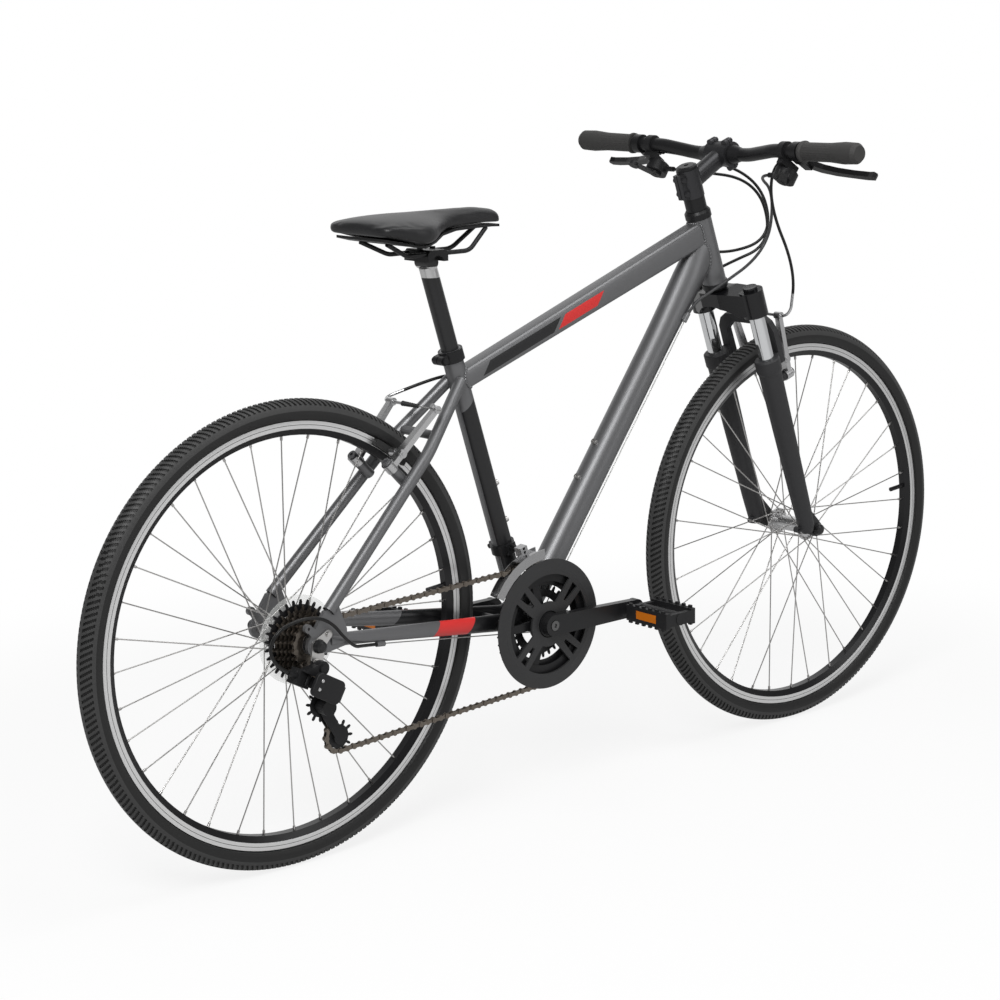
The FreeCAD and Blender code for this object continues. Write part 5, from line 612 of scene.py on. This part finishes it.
smooth_top = form_tube("smooth_top_tube", top_outline, top_start, top_start + top_run * top_length, 12)
smooth_down = form_tube("smooth_down_tube", down_outline, bracket, down_end, 40)
for tube, node, finish in ((smooth_top, "top_tube", top_paint), (smooth_down, "down_tube", frame_grey)):
    tube.data.materials.append(finish["material"])
    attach(tube, "frame")
    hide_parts(node)
print("formed", smooth_top.name, "and", smooth_down.name)

# %% [markdown]
# Where the tubes meet, the frame has a rippled bead of weld under the paint. It could be a plain ring, but the
# tubes meet at a slant, so its path is where one tube's skin meets the other's round wall. That place is
# searched for along each line of the skin, and a round bead follows it, thicker and thinner as the drops of
# weld were laid.


# %% Helper that sweeps a round bead or cable
def sweep_round(name, kind, points, radius, finish, resolution=12, swells=()):
    """A round piece along points. With swells its path is closed, and each point has its own thickness."""
    data = bpy.data.curves.new(name, "CURVE")
    data.dimensions = "3D"
    data.bevel_depth = radius
    data.bevel_resolution = 3
    data.resolution_u = resolution
    data.use_fill_caps = not swells
    spline = data.splines.new(kind)
    spline.points.add(len(points) - 1)
    for knot, point in zip(spline.points, points):
        knot.co = (*point, 1.0)
    for knot, swell in zip(spline.points, swells):
        knot.radius = swell
    spline.order_u = 3
    spline.use_endpoint_u = True
    spline.use_cyclic_u = bool(swells)
    piece = bpy.data.objects.new(name, data)
    bpy.context.scene.collection.objects.link(piece)
    only_this(piece)
    bpy.ops.object.convert(target="MESH")
    piece = bpy.context.object
    piece.data.materials.clear()
    piece.data.materials.append(finish["material"])
    bpy.ops.object.shade_smooth()
    return piece


print("sweep helper ready")


# %% Lay the weld beads
def meet_wall(outline, turn, axis, radius, inside, outside):
    """The place on one line of a tube's skin that lies on the other tube's wall."""
    foot, direction = axis
    near, far = inside, outside
    for halving in range(30):
        half = (near + far) / 2
        if (outline(half, turn) - foot).cross(direction).length < radius:
            near = half
        else:
            far = half
    return outline(half, turn)


def lay_weld(name, outline, axis, radius, inside, outside):
    steps = 260
    turns = [2 * math.pi * index / steps for index in range(steps)]
    path = [meet_wall(outline, turn, axis, radius, inside, outside) for turn in turns]
    swells = [1.0 + 0.20 * math.sin(2 * math.pi * index / 6.5) for index in range(steps)]
    bead = sweep_round(name, "POLY", path, 0.0021, frame_grey, swells=swells)
    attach(bead, "frame")
    return bead


head_axis = (steer_foot, steer_rise)
seat_axis = (bracket, seat_rise)
beads = [
    lay_weld("top_tube_head_weld", top_outline, head_axis, 0.0200, 1.0, 0.85),
    lay_weld("top_tube_seat_weld", top_outline, seat_axis, 0.0161, 0.0, 0.15),
    lay_weld("down_tube_head_weld", down_outline, head_axis, 0.0200, 1.0, 0.80),
]
print("laid", len(beads), "weld beads")

# %% [markdown]
# ## Bare and black metal
#
# The rest of the bike is black and bright metal in many sheens. Black parts are not all the same: the fork
# crown is glossy, its lower legs are matt, and the cranks and bar lie between, so each gets its own finish.

# %% Mix the black finishes
near_black = (0.013, 0.013, 0.014)
gloss_black = mix_finish("gloss_black", (0.007, 0.007, 0.008), 0.20, coat=0.25, grain=300.0, tone=0.10,
                         cloud=0.06, shine=0.3)
matt_black = mix_finish("matt_black", (0.034, 0.034, 0.036), 0.50, grain=900.0, tone=0.16, bump=0.00004,
                        shine=0.35)
satin_black = mix_finish("satin_black", (0.012, 0.012, 0.013), 0.36, grain=700.0, tone=0.18, shine=0.3)
black_moulding = mix_finish("black_moulding", near_black, 0.46, grain=1400.0, tone=0.20, cloud=0.15,
                            bump=0.00005, shine=0.3)
guard_moulding = mix_finish("guard_moulding", (0.030, 0.030, 0.031), 0.40, grain=1400.0, tone=0.20, cloud=0.15,
                            bump=0.00005, shine=0.4)
dark_anodised = mix_finish("dark_anodised", (0.045, 0.045, 0.048), 0.36, metallic=0.6, grain=800.0)
paint(gloss_black, "fork_crown")
paint(matt_black, "fork_lowers")
paint(satin_black, "handlebar", "headset_spacers", "bearing_cups", "right_brake_lever", "left_brake_lever",
      "brake_lever_brackets", "seat_clamp", "chainrings", "saddle_rails", "front_derailleur_clamp")
paint(black_moulding, "saddle_base", "shifter_pods", "right_shift_lever", "left_shift_lever",
      "rear_derailleur_outer_link", "rear_derailleur_inner_link", "rear_derailleur_knuckle",
      "rear_derailleur_cage", "guide_pulley", "tension_pulley")
paint(guard_moulding, "chain_guard")
paint(dark_anodised, "stem")
print("black finishes on crown, legs, bar, chainrings, guard and changers")

# %% Mix the bright finishes
bare_steel = (0.52, 0.51, 0.50)


def mix_steel(name, colour, roughness):
    return mix_finish(name, colour, roughness, metallic=1.0, grain=600.0, tone=0.14)


chrome = mix_finish("chrome", (0.80, 0.81, 0.82), 0.06, metallic=1.0, grain=200.0, tone=0.04, cloud=0.03)
polished = mix_finish("polished_alloy", (0.62, 0.62, 0.625), 0.26, metallic=1.0, grain=900.0, tone=0.10,
                      cloud=0.10)
oiled_steel = mix_finish("oiled_steel", (0.17, 0.150, 0.130), 0.38, metallic=1.0, grain=350.0, tone=0.5,
                         cloud=0.25)
chain_steel = mix_finish("chain_steel", (0.20, 0.175, 0.150), 0.36, metallic=1.0, grain=420.0, tone=0.5,
                         cloud=0.25)
paint(chrome, "stanchions")
paint(polished, "front_hub", "rear_hub")
paint(mix_steel("bright_steel", bare_steel, 0.30), "front_spokes", "rear_spokes")
paint(mix_steel("cage_steel", (0.40, 0.40, 0.405), 0.28), "front_derailleur_cage")
paint(chain_steel, "chain")
print("bright finishes on stanchions, hubs, spokes and chain")

# %% [markdown]
# Some solids hold small parts of another metal. The cranks are black with bright bolts at the spindle, the
# axles are steel with black nuts, the largest sprocket is black, and the changer hangs on a bright steel claw.
# The cable stops on the frame were sprayed with it, but the bolts beside them are bare. Each could be a piece
# of its own, but they are small and still, so masks pick them out.

# %% Finish the small metal parts
black_nut = (0.010, 0.010, 0.011)
past_the_end = 0.2

crank_finish = mix_finish("crank_finish", near_black, 0.34, grain=700.0, tone=0.18, shine=0.35)
crank_bolts = both_of(crank_finish, ring(crank_finish, bracket, -1.0, 0.0082),
                      on_sides(crank_finish, 0.0762, past_the_end))
cover(crank_finish, crank_bolts, (0.16, 0.16, 0.16), 0.25, 1.0)
paint(crank_finish, "crank_arms")
for axle, nut_start in (("rear_axle", 0.0772), ("front_axle", 0.0577)):
    axle_finish = mix_steel(axle + "_finish", bare_steel, 0.30)
    cover(axle_finish, on_sides(axle_finish, nut_start, past_the_end), black_nut, 0.36, 0.0)
    paint(axle_finish, axle)
largest_cog = both_of(oiled_steel, ring(oiled_steel, rear_axle, 0.0400, 0.0700),
                      span(oiled_steel, RIGHT, 0.020, 0.0292))
cover(oiled_steel, largest_cog, black_nut, 0.40, 0.3)
paint(oiled_steel, "freewheel_sprockets")
hanger_finish = mix_finish("hanger_finish", near_black, 0.46, grain=1400.0, tone=0.20, shine=0.3)
claw = both_of(hanger_finish, span(hanger_finish, RIGHT, 0.0738, 0.0802),
               any_of(hanger_finish, ball(hanger_finish, (-0.5365, -0.076, 0.352), 0.0290),
                      ball(hanger_finish, (-0.5455, -0.076, 0.330), 0.0060)))
cover(hanger_finish, claw, (0.60, 0.59, 0.58), 0.28, 1.0)
paint(hanger_finish, "rear_derailleur_body")
fitting_finish = mix_steel("fitting_finish", bare_steel, 0.30)
sprayed = any_of(fitting_finish, *(ball(fitting_finish, stop[0], 0.014) for stop in cable_stops))
cover(fitting_finish, sprayed, grey_paint, 0.34, 0.55)
paint(fitting_finish, "frame_fittings")
print("finished cranks, axles, sprockets, claw and fittings")

# %% [markdown]
# The rims are anodised black, and the brake tracks are turned bright after that, so one material holds both:
# a ring about the axle between the track's two radii. A thin darker line is painted along the middle of the
# track.

# %% Turn the brake tracks
for rim, axle in (("rear_rim", rear_axle), ("front_rim", front_axle)):
    rim_finish = mix_finish(rim + "_finish", (0.009, 0.009, 0.010), 0.30, tone=0.12, shine=0.35)
    cover(rim_finish, ring(rim_finish, axle, 0.3058, 0.3180), (0.80, 0.80, 0.80), roughness=0.34, metallic=0.8)
    # a thin darker line is painted along the middle of the brake track
    cover(rim_finish, ring(rim_finish, axle, 0.3112, 0.3120), (0.10, 0.10, 0.10))
    paint(rim_finish, rim)
print("turned the brake tracks")

# %% [markdown]
# Brake arms are cast and polished, and carry black rubber shoes. The shoes are the part of each arm nearest
# to the rim, so a span across the bike marks them. The pedals are black with an amber reflector on each edge,
# the seatpost has a bright band, and the spoke protector is clear plastic.

# %% Finish brake arms, pedals, seatpost and protector
brake_finish = mix_finish("brake_alloy", (0.60, 0.60, 0.605), 0.28, metallic=1.0, grain=700.0, tone=0.12)
cover(brake_finish, span(brake_finish, LEFT, -0.0232, 0.0232), (0.012, 0.012, 0.012), 0.6, 0.0)
paint(brake_finish, "front_right_brake_arm", "front_left_brake_arm", "rear_right_brake_arm",
      "rear_left_brake_arm")
edge_start, edge_end = 0.0285, 0.04
for pedal, spindle_x, outward in (("right_pedal", 0.082, RIGHT), ("left_pedal", -0.258, LEFT)):
    pedal_finish = mix_finish(pedal + "_finish", near_black, 0.48, grain=1200.0, tone=0.2, bump=0.00005,
                              shine=0.35)
    edges = any_of(pedal_finish, span(pedal_finish, AHEAD, spindle_x + edge_start, spindle_x + edge_end),
                   span(pedal_finish, AHEAD, spindle_x - edge_end, spindle_x - edge_start))
    lens = both_of(pedal_finish, edges, span(pedal_finish, UP, 0.2894, 0.3026),
                   span(pedal_finish, outward, 0.1178, 0.1620))
    cover(pedal_finish, lens, (0.62, 0.17, 0.012), roughness=0.18)
    paint(pedal_finish, pedal)
post_finish = mix_finish("seatpost_finish", near_black, 0.34, grain=700.0, tone=0.14)
cover(post_finish, span(post_finish, UP, 0.849, 0.866), (0.62, 0.62, 0.62), 0.3, 1.0)
paint(post_finish, "seatpost")
clear_plastic = mix_finish("clear_plastic", (0.86, 0.87, 0.85), 0.12, grain=60.0, tone=0.05, cloud=0.05)
clear_plastic["shader"].inputs["Alpha"].default_value = 0.22
paint(clear_plastic, "spoke_protector")
print("finished brake arms, pedals, seatpost and protector")

# %% [markdown]
# The grips are dark grey rubber with rows of small pips on the half nearest the levers. Modelled pips would be
# hundreds of tiny domes, so the material lifts them with a bump instead.

# %% Pip the grips
grip_rubber = mix_finish("grip_rubber", (0.050, 0.049, 0.048), 0.62, grain=900.0, tone=0.2, bump=0.00008,
                         shine=0.3)
grip_tree = grip_rubber["tree"]
pips = add_node(grip_tree, "TexVoronoi", Vector=grip_rubber["place"], Scale=260.0, Randomness=0.0)["Distance"]
pip_height = add_math(grip_tree, "SUBTRACT", 0.5, pips)
pipped = both_of(grip_rubber, on_sides(grip_rubber, 0.200, 0.262), pip_height)
lift_surface(grip_rubber, pipped, 0.0009)
paint(grip_rubber, "grips")
print("grips pipped")

# %% [markdown]
# ## Rear changer
#
# The rear changer swings on two links, and its outer link carries a broad moulded cover with two pale adjusting
# screws. The cover could be drawn as an outline and raised, but a block is simpler: its corners are rounded in
# outline first and its rims are eased after that, as a moulding's are. It rides the link and swings with it.

# %% Mould the cover and its screws
link_level = Vector((0.871214, 0.0, -0.490904))
link_up = Vector((0.490904, 0.0, 0.871214))
link_root = Vector((-0.56599, 0.0, 0.30300))


def on_link(along, up, left):
    """A place by the link in millimetres: along it from its upper pin, up from it, and to the bike's left."""
    return link_root + (link_level * along + link_up * up + Vector((0.0, left, 0.0))) / 1000.0


def ease_rims(piece, width):
    reshape(piece, "eased_rims", "BEVEL", width=width, segments=3, limit_method="ANGLE",
            angle_limit=math.radians(40))
    bpy.ops.object.shade_smooth_by_angle(angle=math.radians(40))


def mould_block(name, along, up, left, corner, rim):
    """A block between pairs of limits in millimetres, with its outline's corners rounded."""
    size = [(pair[1] - pair[0]) / 1000.0 for pair in (along, left, up)]
    centre = [(pair[0] + pair[1]) / 2 for pair in (along, up, left)]
    block = begin_piece(name, bpy.ops.mesh.primitive_cube_add, size=1.0)
    block.scale = size
    bpy.ops.object.transform_apply(location=True, rotation=True, scale=True)
    bpy.ops.object.mode_set(mode="EDIT")
    bpy.ops.mesh.select_mode(type="EDGE")
    bpy.ops.mesh.select_all(action="DESELECT")
    bpy.ops.object.mode_set(mode="OBJECT")
    for edge in block.data.edges:
        first, last = (block.data.vertices[index].co for index in edge.vertices)
        edge.select = abs(first.y - last.y) > 0.5 * size[1]
    bpy.ops.object.mode_set(mode="EDIT")
    bpy.ops.mesh.bevel(offset=corner / 1000.0, segments=6, affect="EDGES")
    bpy.ops.mesh.select_mode(type="VERT")
    bpy.ops.object.mode_set(mode="OBJECT")
    ease_rims(block, rim / 1000.0)
    block.rotation_euler = (0.0, math.atan2(-link_level.z, link_level.x), 0.0)
    block.location = on_link(*centre)
    bpy.ops.object.transform_apply(location=True, rotation=True, scale=True)
    return block


def turn_screw(name, along, up, left):
    screw = begin_piece(name, bpy.ops.mesh.primitive_cylinder_add, vertices=24, radius=0.0026, depth=0.0030,
                        location=on_link(along, up, left), rotation=(math.pi / 2, 0.0, 0.0))
    ease_rims(screw, 0.0006)
    return screw


changer_pieces = [
    (mould_block("changer_cover", (-5, 49), (-18, 18), (-106, -98), 8.0, 2.2), black_moulding, "black_plastic"),
    (mould_block("changer_cover_foot", (12, 34), (-7, 7), (-99, -83), 3.0, 0.8), black_moulding,
     "black_plastic"),
    (turn_screw("upper_adjusting_screw", 5, 7, -106.4), polished, "silver_alloy"),
    (turn_screw("lower_adjusting_screw", 5, -6, -106.4), polished, "silver_alloy"),
]
for piece, finish, slot in changer_pieces:
    piece.data.materials.append(finish["material"])
    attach(piece, "outer_link")
print("moulded", len(changer_pieces), "pieces for the rear changer")

# %% [markdown]
# ## Tyres
#
# A tyre is a ring of one section, so the section is drawn once as a circle, its foot is pinched to fit between
# the rim's flanges, and it is spun about the axle. The tread is cut afterwards: rows of faces that run
# backwards from the middle are pushed in, which leaves the slanted blocks that a road tyre has.

# %% Spin a tyre
tread_steps = 1440
section_points = 44
section_reach = 0.330


def pick(piece, items, test):
    """Leaves selected only those of a piece's points or faces that pass the test."""
    for kind in (piece.data.vertices, piece.data.edges, piece.data.polygons):
        for item in kind:
            item.select = False
    for item in items:
        item.select = test(item)


def spin_tyre(name, axle):
    middle = (axle[0], 0.0, axle[2] + section_reach)
    tyre = begin_piece(name, bpy.ops.mesh.primitive_circle_add, vertices=section_points, radius=0.0189,
                       location=middle, rotation=(0.0, math.pi / 2, 0.0))
    pick(tyre, tyre.data.vertices, lambda vertex: vertex.co.z - axle[2] < 0.3195)
    bpy.ops.object.mode_set(mode="EDIT")
    bpy.ops.transform.resize(value=(1.0, 0.58, 1.0), center_override=middle)
    bpy.ops.mesh.select_all(action="SELECT")
    bpy.ops.mesh.spin(steps=tread_steps, angle=2 * math.pi, center=axle, axis=LEFT)
    bpy.ops.mesh.select_all(action="SELECT")
    bpy.ops.mesh.remove_doubles(threshold=0.00005)
    bpy.ops.mesh.normals_make_consistent(inside=False)
    bpy.ops.object.mode_set(mode="OBJECT")
    return tyre


rear_tyre = spin_tyre("rear_treaded_tyre", rear_axle)
print("spun a tyre of", len(rear_tyre.data.polygons), "faces")


# %% Cut the tread and copy the tyre
def cut_tread(tyre, axle):
    def in_groove(face):
        ahead, up = face.center.x - axle[0], face.center.z - axle[2]
        out = math.hypot(ahead, up) - section_reach
        across = abs(round(math.degrees(math.atan2(face.center.y, out)) / (360.0 / section_points)))
        step = int(math.atan2(up, ahead) / (2 * math.pi) * tread_steps + tread_steps)
        return 1 <= across <= 7 and (step + across) % 6 in (0, 1, 2)

    bpy.ops.object.mode_set(mode="EDIT")
    bpy.ops.mesh.select_mode(type="FACE")
    bpy.ops.mesh.select_all(action="DESELECT")
    bpy.ops.object.mode_set(mode="OBJECT")
    pick(tyre, tyre.data.polygons, in_groove)
    bpy.ops.object.mode_set(mode="EDIT")
    bpy.ops.mesh.inset(thickness=0.0005, depth=-0.0014)
    bpy.ops.mesh.select_mode(type="VERT")
    bpy.ops.object.mode_set(mode="OBJECT")
    bpy.ops.object.shade_smooth_by_angle(angle=math.radians(35))


cut_tread(rear_tyre, rear_axle)
front_tyre = rear_tyre.copy()
front_tyre.data = rear_tyre.data.copy()
front_tyre.name = "front_treaded_tyre"
bpy.context.scene.collection.objects.link(front_tyre)
front_tyre.location.x = front_axle[0] - rear_axle[0]
only_this(front_tyre)
bpy.ops.object.transform_apply(location=True, rotation=True, scale=True)


def mix_rubber(name, axle):
    """Tread blocks lighter, partly as dust and partly as a painted highlight; groove floors near black as
    painted shade; lower sidewalls plain black.
    """
    # the blocks' lighter grey is partly dust and partly a painted highlight
    finish = mix_finish(name, (0.045, 0.045, 0.045), 0.52, grain=260.0, tone=0.35, cloud=0.2, bump=0.0001,
                        shine=0.4)
    # painted shade: inside the hoop the sunk groove floors are painted near black
    cover(finish, hoop(finish, axle, section_reach, 0.0184), (0.006, 0.006, 0.006))
    cover(finish, ring(finish, axle, 0.0, 0.3325), (0.013, 0.013, 0.013), roughness=0.5)
    return finish


for tyre, axle, end in ((rear_tyre, rear_axle, "rear"), (front_tyre, front_axle, "front")):
    tyre.data.materials.append(mix_rubber(end + "_tyre_rubber", axle)["material"])
    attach(tyre, end + "_wheel")
    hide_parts(end + "_tyre")
print("tyre faces:", len(rear_tyre.data.polygons))

# %% [markdown]
# ## Cables
#
# Each brake or gear cable is a steel wire in a plastic housing. A housing is springy: between the two places
# that hold it, it takes one smooth sweep. So each one is a smooth spline through the same few points that the
# solids were built with, and its round section comes from the curve's bevel.


# %% Places on the bar and on the fork
def fork_at(ahead, rise, left):
    """A place by the fork, in millimetres ahead of, up and left of the steering axis."""
    return steer_foot + (steer_ahead * ahead + steer_rise * rise + Vector((0.0, left, 0.0))) / 1000.0


def bar_spot(out, ahead, up):
    """A place by the right grip, in millimetres out along it, ahead of it and above it."""
    start = Vector((0.347307, -0.191188, 1.010958))
    outward = Vector((-0.054401, -0.9984205, 0.014032))
    forward = Vector((0.8174222, -0.0526006, -0.5736323))
    upward = Vector((0.5734641, -0.019736, 0.818993))
    return start + (outward * out + forward * ahead + upward * up) / 1000.0


def other_side(point):
    return Vector((point.x, -point.y, point.z))


def stop_at(stop, reach=4.8):
    """A place in front of a cable stop (positive reach) or behind it, in millimetres."""
    return Vector(stop[0]) + Vector(stop[1]) * reach / 1000.0


lever_mouth = bar_spot(-42, 22, 0)
lever_lead = bar_spot(-84, 22, 0)
shifter_mouth = bar_spot(-76, 28, -29)
shifter_lead = bar_spot(-112, 28, -29)
print("cables start at", tuple(round(v, 3) for v in lever_mouth), tuple(round(v, 3) for v in shifter_mouth))

# %% Helper that draws a cable
housing_radius, wire_radius = 0.0025, 0.0009
housing_black = mix_finish("housing_black", (0.008, 0.008, 0.008), 0.34, tone=0.12, shine=0.35)
housing_grey = mix_finish("housing_grey", (0.045, 0.045, 0.047), 0.36, tone=0.12)
wire_steel = mix_finish("wire_steel", (0.50, 0.50, 0.49), 0.35, metallic=1.0, grain=900.0, tone=0.2)


def draw_cable(name, points, radius, finish, resolution=14):
    cable = sweep_round(name, "NURBS", points, radius, finish, resolution)
    return cable


print("cable helper ready")

# %% Route the housings at the handlebar
bar_housings = {
    "rear_brake_housing": (housing_black, [
        other_side(lever_mouth), other_side(lever_lead), fork_at(165, 604, 10), fork_at(132, 505, -24),
        fork_at(58, 500, 34), fork_at(-28, 566, 30), stop_at(top_front_stop, -26), stop_at(top_front_stop)]),
    "front_changer_housing": (housing_black, [
        other_side(shifter_mouth), other_side(shifter_lead), fork_at(150, 602, 0), fork_at(122, 500, -30),
        fork_at(52, 486, 26), stop_at(left_stop, -45), stop_at(left_stop)]),
    "rear_changer_housing": (housing_grey, [
        shifter_mouth, shifter_lead, fork_at(114, 598, -68), fork_at(86, 503, -50), fork_at(-40, 483, -30),
        stop_at(right_stop, -28), stop_at(right_stop)]),
}
for name, (finish, route) in bar_housings.items():
    housing = draw_cable(name, route, housing_radius, finish, resolution=24)
    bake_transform(housing)
    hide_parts("control_cables")
brake_end = (0.45013, -0.079, 0.76727)
front_brake_housing = draw_cable(
    "front_brake_housing",
    [lever_mouth, lever_lead, fork_at(66, 598, -98), (0.45639, -0.079, 0.80678), brake_end],
    housing_radius, housing_black, resolution=24)
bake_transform(front_brake_housing)
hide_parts("front_brake_cable")
print("routed", len(bar_housings) + 1, "housings from the bar")

# %% Route the housings and wires along the frame
axle_side = Vector((-0.5425, -0.074, 0.349))
frame_cables = {
    "rear_brake_tail": (housing_radius, housing_black, [
        stop_at(top_rear_stop), stop_at(top_rear_stop, -24), (-0.22567, 0.034, 0.69093),
        (-0.26805, 0.06021, 0.67307)]),
    "rear_changer_loop": (housing_radius, housing_black, [
        stop_at(stay_stop), stop_at(stay_stop, -34), axle_side + Vector((0.054, -0.012, -0.010)),
        axle_side + Vector((0.0, -0.018, 0.052)), axle_side + Vector((-0.082, -0.015, 0.044)),
        (-0.6322, -0.0755, 0.3403), (-0.5869, -0.0755, 0.3148)]),
    "top_tube_wire": (wire_radius, wire_steel, [stop_at(top_front_stop), stop_at(top_rear_stop)]),
    "rear_changer_wire": (wire_radius, wire_steel, [
        stop_at(right_stop), (-0.0680, -0.0134, 0.2845), (-0.0776, -0.012, 0.2708), (-0.0900, -0.0140, 0.2728),
        (-0.39028, -0.05953, 0.32252), stop_at(stay_stop)]),
    "front_changer_wire": (wire_radius, wire_steel, [
        stop_at(left_stop), (-0.0680, 0.0130, 0.2845), (-0.0776, 0.012, 0.2708), (-0.1141, -0.006, 0.2720),
        (-0.1146, -0.0090, 0.2820), (-0.12598, -0.042, 0.40787)]),
}
for name, (radius, finish, route) in frame_cables.items():
    cable = draw_cable(name, route, radius, finish)
    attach(cable, "frame")
    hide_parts("control_cables")
print("routed", len(frame_cables), "cables along the frame")

# %% [markdown]
# Over each wheel a bare wire pulls the two brake arms together, and a ribbed rubber boot covers part of it.
# A saw-tooth outline could be spun into the boot, but it also tapers, so here a cone is cut into slices and
# every other ring is drawn in.


# %% String the brakes
def turn_boot(name, start, end, large, small, ribs):
    """A ribbed boot from start to end: a cone cut into slices, with every other ring drawn in."""
    run = end - start
    boot = begin_piece(name, bpy.ops.mesh.primitive_cone_add, vertices=20, radius1=large, radius2=small,
                       depth=run.length, location=(start + end) / 2,
                       rotation=run.to_track_quat("Z", "Y").to_euler())
    slice_piece(start, run, 2 * ribs)
    for cut in range(1, 2 * ribs, 2):
        centre = start + run * cut / (2 * ribs)
        pick(boot, boot.data.vertices, lambda vertex: abs((vertex.co - centre).dot(run.normalized())) < 0.0001)
        bpy.ops.object.mode_set(mode="EDIT")
        bpy.ops.mesh.select_mode(type="VERT")
        bpy.ops.transform.resize(value=(0.72, 1.0, 0.72), center_override=centre)
        bpy.ops.object.mode_set(mode="OBJECT")
    bpy.ops.object.shade_smooth_by_angle(angle=math.radians(25))
    return boot


boot_length = 0.036
boot_rubber = mix_finish("boot_rubber", (0.018, 0.018, 0.018), 0.55, grain=700.0, tone=0.2)
straddles = {
    "front_straddle": ((0.44419, -0.025, 0.72974), (0.44419, 0.067, 0.72974), "fork_lowers",
                       "front_brake_cable"),
    "rear_straddle": ((-0.29841, 0.025, 0.66028), (-0.29841, -0.067, 0.66028), "frame", "control_cables"),
}
for name, (start, end, body, node) in straddles.items():
    wire = draw_cable(name + "_wire", [start, end], wire_radius, wire_steel)
    along = (Vector(end) - Vector(start)).normalized()
    boot = turn_boot(name + "_boot", Vector(start), Vector(start) + along * boot_length, 0.0042, 0.0032, 8)
    boot.data.materials.append(boot_rubber["material"])
    for piece in (wire, boot):
        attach(piece, body)
        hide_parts(node)
print("strung", len(straddles), "brakes")

# %% [markdown]
# ## Saddle
#
# The saddle is foam on a plastic shell under a tight black cover. A solid block can't show that, so the
# pad's shape is copied, remeshed evenly and blown up a little in a cloth simulation with its underside held,
# which rounds every edge as stretched cover does.


# %% Swell the saddle pad
def blow_up(pad, limit):
    """Cloth with air pressure inside; the underside is held, and no point may move past the limit."""
    held = pad.vertex_groups.new(name="held")
    held.add([vertex.index for vertex in pad.data.vertices if vertex.normal.z < -0.5], 1.0, "REPLACE")
    before = [vertex.co.copy() for vertex in pad.data.vertices]
    cloth = pad.modifiers.new("swell", "CLOTH")
    cloth.settings.use_pressure = True
    cloth.settings.uniform_pressure_force = 4.0
    cloth.settings.vertex_group_mass = "held"
    cloth.settings.effector_weights.gravity = 0.0
    scene = bpy.context.scene
    for step in range(1, 21):
        scene.frame_set(step)
    bpy.ops.object.modifier_apply(modifier=cloth.name)
    scene.frame_set(1)
    for vertex, old in zip(pad.data.vertices, before):
        move = vertex.co - old
        if move.length > limit:
            vertex.co = old + move.normalized() * limit


def swell_pad(name, node, voxel, shrink, limit):
    pad = bpy.data.objects.new(name, solids[node].data.copy())
    bpy.context.scene.collection.objects.link(pad)
    only_this(pad)
    bpy.ops.object.mode_set(mode="EDIT")
    bpy.ops.mesh.select_all(action="SELECT")
    bpy.ops.mesh.remove_doubles(threshold=0.00001)
    bpy.ops.object.mode_set(mode="OBJECT")
    reshape(pad, "even_faces", "REMESH", mode="VOXEL", voxel_size=voxel)
    reshape(pad, "room_to_swell", "DISPLACE", strength=-shrink, mid_level=0.0)
    reshape(pad, "relax", "SMOOTH", factor=0.5, iterations=4)
    blow_up(pad, limit)
    reshape(pad, "finer", "SUBSURF", levels=1, render_levels=1)
    bpy.ops.object.shade_smooth()
    return pad


pad = swell_pad("padded_saddle", "saddle_pad", voxel=0.0045, shrink=0.0025, limit=0.005)
saddle_cover = mix_finish("saddle_cover", (0.014, 0.014, 0.015), 0.40, grain=900.0, tone=0.2, cloud=0.1,
                          bump=0.0001, shine=0.4)
pad.data.materials.clear()
pad.data.materials.append(saddle_cover["material"])
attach(pad, "saddle")
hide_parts("saddle_pad")
print("saddle pad has", len(pad.data.polygons), "faces")
